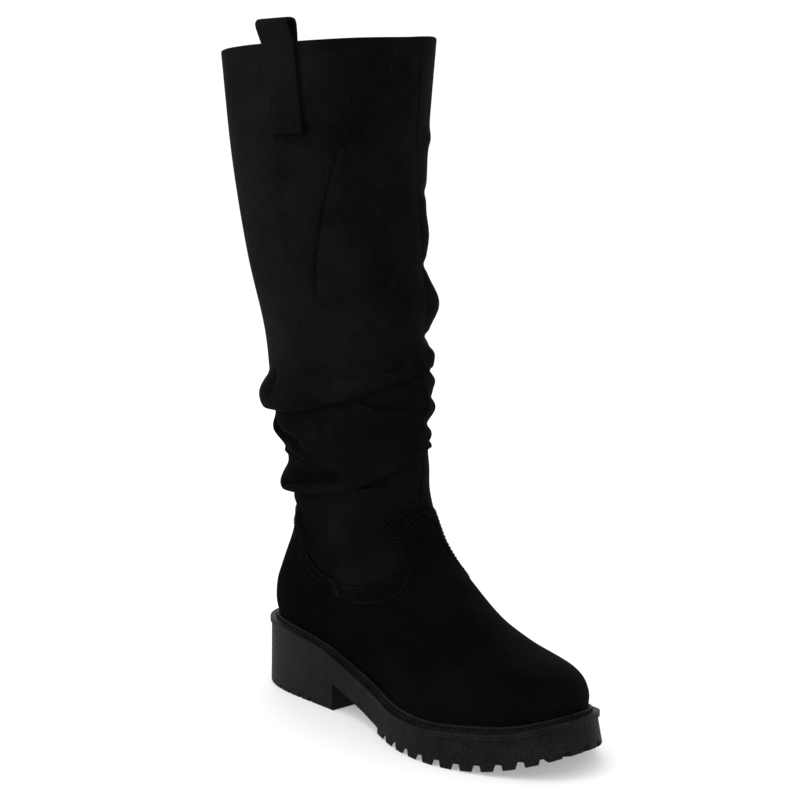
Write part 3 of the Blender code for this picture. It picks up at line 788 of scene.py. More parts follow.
@dataclass(frozen=True)
class Rubber:
    """Moulded rubber: dark grey, satin, with a pebbled side forward of the heel, its pits darkened with
    painted shade.
    """

    name: str
    moulding: Moulding = Moulding.PEBBLED
    dark: Colour = (0.0036, 0.0036, 0.0037)
    light: Colour = (0.0073, 0.0073, 0.0075)
    worn: Colour = (0.018, 0.018, 0.0184)
    # Colour of the painted shade in the pebbles' pits
    pit_painted_shade: Colour = (0.0006, 0.0006, 0.0006)
    cloud: Grain = Grain(0.012, 3.0, 0.6)
    cloud_range: Pair = (0.32, 0.68)
    grit: Grain = Grain(0.0006, 2.0, 0.6)
    scuff: Grain = Grain(0.0035, 4.0, 0.7)
    scuff_range: Pair = (0.30, 0.46)
    scuff_cover: float = 0.45
    pebble_size: float = 0.0014
    pebble_blur: float = 0.3
    pebble_scatter: float = 0.7
    pebbled_from: Pair = (-0.085, -0.052)
    # Mask of the pits, and how strongly painted shade darkens them
    pit_range: Pair = (0.08, 0.50)
    pit_painted_shade_cover: float = 0.80
    grit_height: float = 0.12
    relief: Relief = Relief(0.0006, 0.8)
    roughness: float = 0.50
    cloud_roughness: float = 0.16
    pebble_roughness: float = 0.06
    specular: float = 0.07

    def material(self) -> bpy.types.Material:
        """Make the material.

        Returns:
            The material.
        """
        board = Board(self.name)
        place = board.place()
        cloud = board.noise(place, self.cloud)
        grit = board.noise(place, self.grit)
        pebbled = board.axis(place, "X").between(*self.pebbled_from)
        if self.moulding is Moulding.SMOOTH:
            pebbled = pebbled * 0.0
        cells = {"Vector": place, "Scale": 1.0 / self.pebble_size, "Smoothness": self.pebble_blur,
                 "Randomness": self.pebble_scatter}
        stones = board.add("ShaderNodeTexVoronoi", {"feature": "SMOOTH_F1"}, cells, "Distance")
        colour = board.mix(cloud.between(*self.cloud_range), self.dark, self.light)
        scuffed = (board.noise(place, self.scuff) * grit).between(*self.scuff_range)
        colour = board.mix(scuffed * self.scuff_cover, colour, self.worn)
        # The pebbles' pits: a dent in the relief, and painted shade in the colour
        pits_and_painted_shade = (1.0 - stones.between(*self.pit_range)) * pebbled
        links = {
            "Base Color": board.mix(pits_and_painted_shade * self.pit_painted_shade_cover, colour, self.pit_painted_shade),
            "Roughness": self.roughness + cloud * self.cloud_roughness + pebbled * self.pebble_roughness,
            "Normal": board.bump((1.0 - pits_and_painted_shade) + grit * self.grit_height, self.relief),
        }
        return board.dress(links, {"Specular IOR Level": self.specular})


@dataclass(frozen=True)
class Thread:
    """Twisted sewing thread, a shade lighter than the suede."""

    name: str
    dark: Colour = (0.0015, 0.0015, 0.0016)
    light: Colour = (0.0055, 0.0055, 0.0057)
    twist: Grain = Grain(0.0004, 1.0, 0.5)
    twist_stretch: Triple = (1.0, 1.6, 0.7)
    twist_share: float = 0.5
    fade: Grain = Grain(0.009, 2.0, 0.5)
    shade_range: Pair = (0.35, 0.65)
    relief: Relief = Relief(0.0002, 0.5)
    roughness: float = 0.62
    twist_roughness: float = 0.2
    specular: float = 0.06
    sheen: float = 0.008

    def material(self) -> bpy.types.Material:
        """Make the material.

        Returns:
            The material.
        """
        board = Board(self.name)
        place = board.place()
        twist = board.noise(board.stretched(place, self.twist_stretch), self.twist)
        shade = twist * self.twist_share + board.noise(place, self.fade) * (1.0 - self.twist_share)
        links = {
            "Base Color": board.mix(shade.between(*self.shade_range), self.dark, self.light),
            "Roughness": self.roughness + twist * self.twist_roughness,
            "Normal": board.bump(twist, self.relief),
        }
        return board.dress(links, {"Specular IOR Level": self.specular, "Sheen Weight": self.sheen})


@dataclass(frozen=True)
class Lining:
    """Brushed textile of the lining and the sock: a fine weave with a little pilling."""

    name: str
    dark: Colour = (0.0055, 0.0055, 0.0058)
    light: Colour = (0.0125, 0.0125, 0.0130)
    yarn: float = 0.0009
    yarn_slant: float = 0.5
    weave_share: float = 0.4
    weave_height: float = 0.5
    pill: Grain = Grain(0.003, 4.0, 0.65)
    shade_range: Pair = (0.3, 0.7)
    relief: Relief = Relief(0.0003, 0.5)
    roughness: float = 0.9
    weave_roughness: float = 0.08
    specular: float = 0.12
    sheen: float = 0.03

    def material(self) -> bpy.types.Material:
        """Make the material.

        Returns:
            The material.
        """
        board = Board(self.name)
        place = board.place()
        turned = 2 * math.pi / self.yarn
        x, y, z = (board.axis(place, name) for name in "XYZ")
        run = x.math("SINE", (x + y) * turned)
        rise = z.math("SINE", (z + x * self.yarn_slant) * turned)
        weave = run * rise * 0.5 + 0.5
        pill = board.noise(place, self.pill)
        shade = weave * self.weave_share + pill * (1.0 - self.weave_share)
        height = weave * self.weave_height + pill * (1.0 - self.weave_height)
        links = {
            "Base Color": board.mix(shade.between(*self.shade_range), self.dark, self.light),
            "Roughness": self.roughness + weave * self.weave_roughness,
            "Normal": board.bump(height, self.relief),
        }
        return board.dress(links, {"Specular IOR Level": self.specular, "Sheen Weight": self.sheen})


@dataclass(frozen=True)
class Paper:
    """Pale seamless floor of a light table."""

    name: str
    pale: Colour = (0.68, 0.68, 0.68)
    paler: Colour = (0.70, 0.70, 0.70)
    grain: Grain = Grain(0.08, 2.0, 0.5)
    roughness: float = 0.9
    specular: float = 0.1
    glow_colour: Colour = (1.0, 1.0, 1.0)
    glow: float = 0.29

    def material(self) -> bpy.types.Material:
        """Make the material.

        Returns:
            The material.
        """
        board = Board(self.name)
        links = {"Base Color": board.mix(board.noise(board.place(), self.grain), self.pale, self.paler)}
        constants = {
            "Roughness": self.roughness,
            "Specular IOR Level": self.specular,
            "Emission Color": opaque(self.glow_colour),
            "Emission Strength": self.glow,
        }
        return board.dress(links, constants)


@dataclass
class Workshop:
    """Makes pieces of the boot from points in millimetres and hangs them on the frame."""

    body: str = "root"
    sharp: float = 40.0
    made: list[str] = field(default_factory=list)

    def mesh(self, name: str, points: Array, faces: Faces) -> bpy.types.Object:
        """Smooth-shaded mesh object with its faces turned outwards.

        Args:
            name: Name of the object.
            points: Points in the boot's millimetres.
            faces: Faces by point numbers.

        Returns:
            The object, linked to the scene.
        """
        data = bpy.data.meshes.new(name)
        data.from_pydata(((np.reshape(points, (-1, 3)) - ORIGIN) * MM).tolist(), [], faces)
        work = bmesh.new()
        work.from_mesh(data)
        bmesh.ops.recalc_face_normals(work, faces=work.faces[:])
        work.to_mesh(data)
        work.free()
        data.shade_smooth()
        data.set_sharp_from_angle(angle=math.radians(self.sharp))
        piece = bpy.data.objects.new(name, data)
        bpy.context.scene.collection.objects.link(piece)
        return piece

    def sleeve(self, name: str, rows: Sequence[Array]) -> bpy.types.Object:
        """Mesh through rows of points that each run once round, the last row joined to the first."""
        return self.mesh(name, np.asarray(rows), band_faces(len(rows), len(rows[0]), True))

    def slab(self, name: str, rows: Sequence[Array]) -> bpy.types.Object:
        """Mesh through rows of points that each run once round, closed at both ends.

        Args:
            name: Name of the object.
            rows: Rows of points, from one end to the other.

        Returns:
            The object.
        """
        count = len(rows[0])
        faces = ladder_faces(0, count) + band_faces(len(rows), count, False)
        faces += ladder_faces((len(rows) - 1) * count, count)
        return self.mesh(name, np.asarray(rows), faces)

    def hand_over(self, piece: bpy.types.Object, materials: Sequence[bpy.types.Material],
                  node: Optional[str] = None) -> None:
        """Dress a piece and hang it on the frame.

        Args:
            piece: The finished mesh object.
            materials: Materials in the order of the mesh's slots.
            node: The solid that the piece stands for, if any.
        """
        for material in materials:
            piece.data.materials.append(material)
        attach(piece, self.body)
        if node:
            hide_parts(node)
        self.made.append(piece.name)
        LOG.info("%s: %d faces", piece.name, len(piece.data.polygons))

    def hand_over_lined(self, piece: bpy.types.Object, suede: Suede, lining: Lining, node: str,
                        lined: slice) -> None:
        """Hand over a piece of suede whose given faces show the lining.

        Args:
            piece: The mesh object.
            suede: Finish of the cloth.
            lining: Finish of the inside.
            node: The solid that the piece stands for.
            lined: Numbers of the faces inside.
        """
        shown = np.zeros(len(piece.data.polygons), np.int32)
        shown[lined] = 1
        self.hand_over(piece, (suede.material(), lining.material()), node)
        piece.data.polygons.foreach_set("material_index", shown)


@dataclass(frozen=True)
class Stitching:
    """Rows of sewn stitches, each a rounded bead of thread that dips in at both ends."""

    length: float = 2.3
    gap: float = 0.55
    thickness: float = 0.62
    slant: float = 0.0
    rise: float = 0.22
    sides: int = 6
    profile: tuple[Triple, ...] = (
        (0.00, 0.30, -0.75), (0.10, 0.75, -0.25), (0.30, 1.00, 0.35), (0.50, 1.05, 0.50),
        (0.70, 1.00, 0.35), (0.90, 0.75, -0.25), (1.00, 0.30, -0.75))

    def row(self, points: Array, normals: Array, shift: float = 0.0) -> tuple[Array, Faces]:
        """Stitches along a line.

        Args:
            points: Points of the line on the piece's surface, in millimetres.
            normals: Unit normals of the surface there.
            shift: Share of a stitch that the row starts later by.

        Returns:
            The points and faces of the whole row.
        """
        steps = np.linalg.norm(np.diff(points, axis=0), axis=1)
        place = np.concatenate([[0.0], np.cumsum(steps)])
        pitch = self.length + self.gap
        count = max(1, int(place[-1] / pitch - shift))
        starts = (np.arange(count) + shift) * pitch + self.gap / 2
        shares, widths, lifts = np.array(self.profile).T
        widths = widths * self.thickness / 2
        lifts = lifts * self.thickness / 2
        at = starts[:, None] + shares[None, :] * self.length
        middle = np.stack([np.interp(at, place, points[:, k]) for k in range(3)], -1)
        normal = unit(np.stack([np.interp(at, place, normals[:, k]) for k in range(3)], -1))
        along = unit(np.gradient(middle, axis=1))
        side = unit(np.cross(normal, along))
        middle = middle + (self.rise + lifts)[None, :, None] * normal
        middle = middle + (self.slant * (shares - 0.5))[None, :, None] * side
        turn = np.arange(self.sides) * 2 * np.pi / self.sides
        ring = np.cos(turn)[:, None] * side[:, :, None, :]
        ring = ring + np.sin(turn)[:, None] * normal[:, :, None, :]
        body = middle[:, :, None, :] + widths[None, :, None, None] * ring
        rings = len(self.profile)
        each = rings * self.sides
        faces: Faces = []
        for i in range(count):
            faces += band_faces(rings, self.sides, False, i * each)
            faces.append(tuple(i * each + k for k in range(self.sides))[::-1])
            faces.append(tuple(i * each + each - self.sides + k for k in range(self.sides)))
        return body.reshape(-1, 3), faces


class Seamstress:
    """Gathers rows of stitches into one piece."""

    def __init__(self) -> None:
        """Start with no stitches."""
        self.points: list[Array] = []
        self.faces: Faces = []
        self.count = 0

    def sew(self, row: tuple[Array, Faces]) -> None:
        """Add a row of stitches.

        Args:
            row: Points and faces of the row.
        """
        points, faces = row
        self.points.append(points)
        self.faces += [tuple(corner + self.count for corner in face) for face in faces]
        self.count += len(points)

    def finish(self, workshop: Workshop, name: str, thread: Thread) -> None:
        """Hand over all the rows as one piece."""
        piece = workshop.mesh(name, np.concatenate(self.points), self.faces)
        workshop.hand_over(piece, (thread.material(),))


# Creases of the shaft, placed by angle and level; depths and widths are in millimetres
SHAFT_CREASES = (
    # Long pull line below the loop, with its soft front side and the ridge behind it
    Crease(((147, 14.24), (142, 14.0), (132, 13.54), (127, 13.26), (122, 12.98), (117, 12.58),
            (113, 12.26)), 1.3, 1.7, 0.6, 0.35, 0.15),
    Crease(((139, 14.1), (126, 13.6), (117, 13.1), (111, 12.6), (107, 12.2)), -0.8, 4.0, 9.0, 0.4, 0.3),
    # Broad hollow of the front quarter
    Crease(((168, 14.7), (166, 14.0), (163, 13.3), (160, 12.5)), 1.8, 15.0, 15.0, 0.3, 0.4),
    # Front seam: its groove, then the gathered inner panel that falls away behind it
    Crease(((193, 14.98), (196, 14.3), (198, 13.7), (201, 13.28), (205, 12.68), (203, 12.1), (197, 11.55)),
           0.9, 0.9, 0.9, 0.03, 0.15),
    Crease(((197, 11.6), (193, 11.0), (190, 10.5), (189, 10.1)), 0.7, 0.9, 0.9, 0.2, 0.3),
    Crease(((186, 9.05), (187, 8.43), (187, 8.08), (181, 7.62)), 0.8, 0.9, 0.9, 0.2, 0.05),
    Crease(((197, 14.35), (199, 13.7), (202, 13.28), (206, 12.68), (204, 12.1), (198, 11.55)),
           2.6, 7.0, 1.0, 0.35, 0.2),
    Crease(((187, 8.2), (185, 7.96), (180, 7.62)), 1.4, 1.0, 1.0),
    # Gathers of the inner panel
    Crease(((203, 14.12), (222, 14.1), (248, 14.2)), -1.3, 5.0, 5.0, 0.3, 0.4),
    Crease(((202, 13.62), (225, 13.56), (252, 13.48)), 1.3, 4.0, 4.0, 0.25, 0.4),
    Crease(((206, 12.74), (226, 12.76), (256, 12.84)), 1.7, 3.0, 4.0, 0.2, 0.4),
    Crease(((200, 11.76), (224, 11.70), (256, 11.74)), 2.3, 2.4, 3.0, 0.15, 0.4),
    Crease(((198, 11.44), (222, 11.44), (250, 11.48)), -1.6, 3.0, 3.0, 0.25, 0.4),
    Crease(((196, 11.20), (220, 11.16), (252, 11.15)), 1.9, 2.0, 2.6, 0.2, 0.4),
    Crease(((195, 10.52), (220, 10.46), (252, 10.44)), 1.9, 2.6, 2.6, 0.2, 0.4),
    Crease(((192, 9.76), (220, 9.70), (252, 9.70)), 1.5, 2.6, 2.6, 0.2, 0.4),
    Crease(((194, 9.32), (220, 9.34), (246, 9.36)), -1.2, 3.0, 3.0, 0.2, 0.4),
    # Top roll: the crease along its top, a faint line above its edge, and the fold at the front seam
    Crease(((100, 10.94), (114, 11.08), (124, 11.14), (138, 11.13), (155, 11.19), (170, 11.28),
            (184, 11.40)), 2.4, 2.6, 1.0, 0.3, 0.2),
    Crease(((74, 10.74), (89, 10.81), (102, 10.83)), 1.0, 2.0, 1.4),
    Crease(((181, 11.42), (197, 11.18), (221, 10.96)), -1.1, 1.5, 3.0),
    # Pocket at the back of the top roll, with its sharp front edge
    Crease(((59, 11.44), (64, 11.27), (67, 11.09), (67.5, 10.90)), 7.0, 1.5, 8.0, 0.45, 0.45),
    Crease(((98, 12.06), (103, 11.92), (109, 11.78)), 0.6, 2.4, 2.4),
    # Underside of the top roll at the front, which slopes in to a crease behind the middle fold's edge
    Crease(((128, 10.64), (136, 10.56), (142, 10.42), (150, 10.28), (160, 10.20)),
           2.4, 3.6, 1.1, 0.35, 0.4),
    Crease(((138, 10.50), (147, 10.32), (156, 10.23), (172, 10.13), (184, 10.07), (196, 10.05)),
           3.4, 9.0, 1.2, 0.4, 0.12),
    Crease(((129, 10.60), (136, 10.48), (142, 10.34), (148, 10.21), (156, 10.14), (172, 10.03),
            (188, 9.96)), -1.2, 1.7, 6.0),
    Crease(((110, 10.58), (120, 10.36), (128, 10.22)), -0.8, 1.8, 4.0),
    Crease(((117, 10.56), (124, 10.52), (131, 10.54)), 1.8, 2.4, 1.4, 0.4, 0.4),
    # Middle folds at the back and their run forwards
    Crease(((67, 10.45), (69, 10.14)), -0.5, 2.4, 2.4, 0.3, 0.5),
    Crease(((42, 10.12), (54, 9.88), (66, 9.66), (75, 9.52), (85, 9.44)), 4.6, 5.4, 3.2, 0.1, 0.45),
    Crease(((58, 9.58), (68, 9.34), (78, 9.17), (90, 8.94)), -0.8, 2.4, 3.5, 0.2, 0.5),
    Crease(((110, 9.98), (118, 9.72), (126, 9.42)), 0.8, 5.0, 5.0, 0.4, 0.4),
    Crease(((95, 10.08), (99, 9.92), (102, 9.74)), -1.1, 4.5, 4.5, 0.4, 0.4),
    Crease(((132, 9.80), (150, 9.62), (172, 9.66)), 0.8, 4.0, 5.0, 0.4, 0.4),
    # Lower roll: the hollow along its top and the crest that sweeps up to the front
    Crease(((40, 8.46), (61, 8.46), (82, 8.47), (98, 8.46), (111, 8.43), (121, 8.42)),
           4.6, 2.8, 1.5, 0.12, 0.4),
    Crease(((108, 8.14), (123, 8.27), (134, 8.40), (146, 8.54), (159, 8.72), (174, 8.89), (194, 9.08)),
           -1.4, 3.0, 2.0, 0.25, 0.2),
    # Ankle: small folds, the swelling above the band, and the cloth that hangs over the band at the back
    Crease(((98, 7.93), (117, 8.0), (133, 8.06), (155, 8.02), (170, 7.97)), -1.8, 1.1, 5.0, 0.3, 0.3),
    Crease(((44, 7.30), (70, 7.45), (98, 7.62), (125, 7.74)), 0.8, 2.0, 5.0),
    Crease(((107, 7.44), (103, 6.88), (102, 6.36)), -1.3, 9.0, 9.0, 0.4, 0.5),
    Crease(((40, 7.08), (44, 6.66), (50, 6.10), (55, 5.74), (60, 5.32), (65, 5.06), (71, 4.93), (79, 4.93),
            (87, 5.0), (97, 5.14), (110, 5.42)), -2.3, 5.5, 1.8, 0.12, 0.35),
    # Plain folds of the hidden back and inner sides
    Crease(((282, 10.30), (305, 10.10), (334, 10.22)), 1.6, 2.6, 4.0),
    Crease(((262, 8.62), (288, 8.46), (318, 8.56)), 1.2, 2.4, 4.0),
    Crease(((290, 9.52), (312, 9.30), (330, 8.90)), 1.5, 3.0, 4.0),
    Crease(((268, 11.95), (290, 11.80), (312, 11.90)), 1.0, 4.0, 5.0),
    Crease(((300, 13.60), (292, 12.90), (288, 12.30)), 1.0, 4.0, 4.0, 0.4, 0.3),
    Crease(((8, 10.02), (22, 9.92), (38, 10.02)), 1.8, 2.4, 3.0),
    Crease(((330, 8.20), (350, 8.10), (368, 8.22)), 1.4, 2.4, 3.0),
)

# Creases of the foot: the joint of counter and vamp on both sides, and soft dents of the instep and vamp
SIDE_SEAM = ((77, 3.75), (75, 3.38), (68, 1.74), (66.5, 0.9), (64, 0.03))
INNER_SIDE_SEAM = tuple((360.0 - angle, level) for angle, level in SIDE_SEAM)
FOOT_CREASES = (
    Crease(SIDE_SEAM, 0.7, 0.8, 0.8, 0.02, 0.02),
    Crease(INNER_SIDE_SEAM, 0.7, 0.8, 0.8, 0.02, 0.02),
    Crease(((172, 5.0), (175, 4.1), (164, 3.0), (153, 1.8)), -0.6, 8.0, 8.0, 0.3, 0.4),
    Crease(((138, 4.2), (150, 3.7), (163, 3.6)), 0.8, 7.0, 7.0, 0.4, 0.4),
    Crease(((128, 2.8), (140, 2.4), (154, 2.5)), 0.6, 8.0, 8.0, 0.4, 0.4),
    Crease(((222, 4.2), (208, 3.7), (196, 3.6)), 0.8, 7.0, 7.0, 0.4, 0.4),
    Crease(((40, 3.4), (52, 3.0), (60, 2.4)), 0.7, 7.0, 7.0, 0.4, 0.4),
    Crease(((90, 4.25), (95.5, 3.98), (102.5, 3.44), (106.5, 2.81), (110.5, 2.22), (114.5, 1.80)),
           1.1, 10.0, 10.0, 0.35, 0.35),
)


@dataclass(frozen=True)
class Shaft:
    """Slouched shaft from the ankle seam to the collar, lined inside."""

    skin: FoldedSkin
    wall: float = 2.0
    gap: float = 0.35
    fine_from: float = 44.0
    fine_to: float = 216.0
    fine_step: float = 1.0
    coarse_step: float = 1.9
    ankle_rows: int = 38
    roll_rows: int = 132
    leg_rows: int = 104
    lining_rows: int = 56
    spread_rows: int = 6
    spread_columns: int = 4
    rim_steps: int = 6
    rim_share: float = 0.6
    collar_inset: float = 0.02

    def angles(self) -> Array:
        """Angles of the columns, closer together where the folds show.

        Returns:
            The angles, in degrees.
        """
        fine = np.arange(self.fine_from, self.fine_to, self.fine_step)
        plain = 360.0 - (self.fine_to - self.fine_from)
        coarse = self.fine_to + np.arange(0.0, plain, self.coarse_step)
        return np.concatenate([fine, coarse])

    def levels(self, angle: Array) -> Array:
        """Levels of the rows from the seam up, one row for each ring.

        Args:
            angle: Angles of the columns.

        Returns:
            The levels, a row for each ring.
        """
        form = self.skin.form
        seam = form.seam_level(angle)
        bottom = seam + form.level_shift(angle, seam, self.gap)
        first, last = around(form.creases()[0], angle), around(form.rolls_end, angle)
        top = np.full_like(angle, form.collar_level - self.collar_inset)
        spans = ((bottom, first, self.ankle_rows), (first, last, self.roll_rows),
                 (last, top, self.leg_rows))
        rows = [low + share * (high - low) for low, high, count in spans
                for share in np.linspace(0.0, 1.0, count, endpoint=False)]
        return np.array([*rows, top])

    def build(self, workshop: Workshop, suede: Suede, lining: Lining) -> None:
        """Make the shaft: folded outside, rounded collar edge and lining.

        Args:
            workshop: Makes the pieces and hangs them on the frame.
            suede: Finish of the cloth.
            lining: Finish of the inside.
        """
        form = self.skin.form
        columns = self.angles()
        levels = self.levels(columns)
        angles = np.broadcast_to(columns, levels.shape)
        lift = self.skin.lift(angles, levels)
        outside = form.raised(angles, levels, lift)
        shown = np.linspace(0, len(levels) - 1, self.lining_rows).astype(int)
        inner_levels = levels[shown]
        inner_angles = np.broadcast_to(columns, inner_levels.shape)
        depth = (self.wall + self.spread(np.maximum(0.0, -lift)))[shown]
        inside = form.smooth_skin(inner_angles, inner_levels)
        inside = inside - depth[..., None] * form.smooth_normal(inner_angles, inner_levels)
        inside[..., 2] += form.collar_lift(inner_angles, inner_levels)
        rim = self.rim(outside[-1], inside[-1])
        piece = workshop.sleeve("shaft_suede", np.concatenate([outside, rim, inside[::-1]]))
        first = (len(outside) + len(rim) - 1) * len(columns)
        lined = slice(first, first + (self.lining_rows - 1) * len(columns))
        workshop.hand_over_lined(piece, suede, lining, "shaft", lined)

    def spread(self, depth: Array) -> Array:
        """Greatest depth within a few rows and columns of each point.

        Args:
            depth: Depth at each point.

        Returns:
            The greatest depth near each point.
        """
        for axis, reach in ((0, self.spread_rows), (1, self.spread_columns)):
            shifted = [np.roll(depth, step, axis) for step in range(-reach, reach + 1)]
            depth = np.max(shifted, axis=0)
        return depth

    def rim(self, outer: Array, inner: Array) -> Array:
        """Rows of the rounded collar edge between the outside and the lining.

        Args:
            outer: Top row of the outside.
            inner: Top row of the lining.

        Returns:
            The rows between them.
        """
        middle = (outer + inner) / 2
        rows = []
        for turn in np.linspace(0.0, np.pi, self.rim_steps + 2)[1:-1]:
            row = middle + np.cos(turn) * (outer - middle)
            row[:, 2] += np.sin(turn) * self.wall * self.rim_share
            rows.append(row)
        return np.array(rows)


@dataclass(frozen=True)
class Foot:
    """Vamp and counter, sewn together at the sides."""

    skin: FoldedSkin
    wall: float = 2.2
    gap: float = 0.35
    start_level: float = 0.03
    columns: int = 300
    rows: int = 96
    inner_rows: int = 24
    seam_rows: Pair = (-1.5, 1.5)
    seam_samples: int = 64
    seam_shown: tuple[int, int] = (6, -3)
    stitch: Stitching = Stitching(length=1.6, gap=1.0, thickness=0.5)

    def build(self, workshop: Workshop, suede: Suede, lining: Lining, thread: Thread) -> None:
        """Make the foot and the stitches of its side seams.

        Args:
            workshop: Makes the pieces and hangs them on the frame.
            suede: Finish of the cloth.
            lining: Finish of the inside.
            thread: Finish of the stitches.
        """
        form = self.skin.form
        columns = np.arange(self.columns) * 360.0 / self.columns
        seam = form.seam_level(columns)
        top = seam - form.level_shift(columns, seam, self.gap)
        shares = np.linspace(0.0, 1.0, self.rows)[:, None]
        levels = self.start_level + shares * (top - self.start_level)
        angles = np.broadcast_to(columns, levels.shape)
        outside = self.skin.point(angles, levels)
        inner_levels = levels[np.linspace(0, self.rows - 1, self.inner_rows).astype(int)]
        inner_angles = np.broadcast_to(columns, inner_levels.shape)
        inside = form.raised(inner_angles, inner_levels, -self.wall)
        piece = workshop.sleeve("foot_suede", np.concatenate([outside, inside[::-1]]))
        lined = slice(self.rows * self.columns, (self.rows + self.inner_rows - 1) * self.columns)
        workshop.hand_over_lined(piece, suede, lining, "upper", lined)
        self.sew(workshop, thread)

    def sew(self, workshop: Workshop, thread: Thread) -> None:
        """Twin rows of stitches beside the side seams.

        Args:
            workshop: Makes the pieces and hangs them on the frame.
            thread: Finish of the stitches.
        """
        form = self.skin.form
        rows = Seamstress()
        shown = slice(*self.seam_shown)
        for route in (SIDE_SEAM, INNER_SIDE_SEAM):
            angle, level = along_route(route, self.seam_samples)
            for across in self.seam_rows:
                beside = form.beside_line(angle[shown], level[shown], across)
                rows.sew(self.stitch.row(self.skin.point(*beside), form.normal(*beside)))
        rows.finish(workshop, "side_seam_stitches", thread)


@dataclass(frozen=True)
class AnkleBand:
    """Band over the seam of foot and shaft, cornered at the front, sewn along both edges and tacked."""

    skin: FoldedSkin
    lift: float = 0.10
    thickness: float = 0.60
    samples: int = 12
    lower: Route = (
        (0, 6.24), (26, 6.20), (38, 5.90), (46, 5.05), (52, 4.45), (58.5, 3.95), (66, 3.74), (78, 3.74),
        (94, 4.13), (109, 4.47), (122, 4.78), (134, 5.15), (145, 5.58), (152, 5.92), (156.5, 6.25),
        (158.3, 6.55), (157.6, 6.76), (157, 6.86), (159.5, 6.96), (166, 7.12), (173, 7.22), (180, 7.28))
    upper: Route = (
        (0, 6.88), (30, 6.86), (43, 6.42), (52, 5.42), (58, 4.75), (64, 4.33), (70, 4.22), (78, 4.30),
        (93.5, 4.61), (110, 4.95), (123, 5.26), (132, 5.48), (140, 5.76), (145, 6.02), (148, 6.30),
        (148, 6.55), (145, 6.88), (143.3, 7.04), (147, 7.13), (160, 7.33), (171, 7.49), (180, 7.58))
    section: Route = (
        (-0.15, -0.20), (-0.20, 0.00), (-0.18, 0.30), (-0.12, 0.62), (-0.06, 0.80), (0.0, 0.70),
        (0.07, 0.94), (0.30, 1.06), (0.60, 1.06), (0.82, 1.00), (0.89, 0.80), (0.96, 0.92), (1.03, 0.92),
        (1.10, 0.75), (1.17, 0.85), (1.23, 0.60), (1.26, 0.10), (1.22, -0.20))
    lower_row: float = 0.0
    upper_rows: Pair = (0.89, 1.10)
    stitch_height: float = 0.9
    tack_share: float = 0.172
    tack_rows: Triple = (-0.12, 1.2, 0.11)
    tack_columns: int = 4
    tack_rise: float = 0.25
    stitch: Stitching = Stitching(length=1.6, gap=1.0, thickness=0.58)
    rope: Stitching = Stitching(length=1.7, gap=0.9, thickness=0.58, slant=0.45)
    tack: Stitching = Stitching(length=2.2, gap=0.2, thickness=0.5)

    def line(self, across: float) -> tuple[Array, Array]:
        """Line along the band: across is 0 at its lower row of stitches and 1 near its upper edge.

        Args:
            across: Place across the band.

        Returns:
            The angles and the levels.
        """
        knots = np.arange(len(self.lower), dtype=float)
        share = np.linspace(0.0, knots[-1], self.samples * (len(knots) - 1) + 1)
        low, high = np.array(self.lower), np.array(self.upper)
        route = low + across * (high - low)
        angle, level = (curve(knots, route[:, k], share) for k in (0, 1))
        return np.concatenate([angle, 360.0 - angle[-2::-1]]), np.concatenate([level, level[-2::-1]])

    def build(self, workshop: Workshop, suede: Suede, thread: Thread) -> None:
        """Make the band and its stitches.

        Args:
            workshop: Makes the pieces and hangs them on the frame.
            suede: Finish of the cloth.
            thread: Finish of the stitches.
        """
        form = self.skin.form
        rows = []
        for across, height in self.section:
            angle, level = self.line(across)
            rows.append(form.raised(angle, level, self.lift + height * self.thickness)[:-1])
        piece = workshop.sleeve("ankle_band_suede", rows)
        workshop.hand_over(piece, (suede.material(),), "ankle_band")
        self.sew(workshop, thread)

    def sew(self, workshop: Workshop, thread: Thread) -> None:
        """One row of stitches along the lower edge, two along the upper one, and a tack on each side.

        Args:
            workshop: Makes the pieces and hangs them on the frame.
            thread: Finish of the stitches.
        """
        form = self.skin.form
        rows = Seamstress()
        top = self.lift + self.stitch_height * self.thickness
        first, second = self.upper_rows
        seams = ((self.lower_row, self.stitch, 0.0), (first, self.rope, 0.0), (second, self.rope, 0.5))
        for across, stitch, shift in seams:
            line = self.line(across)
            rows.sew(stitch.row(form.raised(*line, top), form.normal(*line), shift))
        for share in (self.tack_share, 1.0 - self.tack_share):
            self.sew_tack(rows, share, top + self.tack_rise)
        rows.finish(workshop, "ankle_stitches", thread)

    def sew_tack(self, rows: Seamstress, share: float, out: float) -> None:
        """Short dense stitches across the band, at a share of its length from the back.

        Args:
            rows: Stitches so far, which the new ones join.
            share: Place along the band.
            out: Distance out from the skin.
        """
        form = self.skin.form
        for across in np.arange(*self.tack_rows):
            angle, level = self.line(across)
            first = int(share * len(angle)) - 1
            near = (angle[first:first + self.tack_columns], level[first:first + self.tack_columns])
            rows.sew(self.tack.row(form.raised(*near, out), form.normal(*near)))


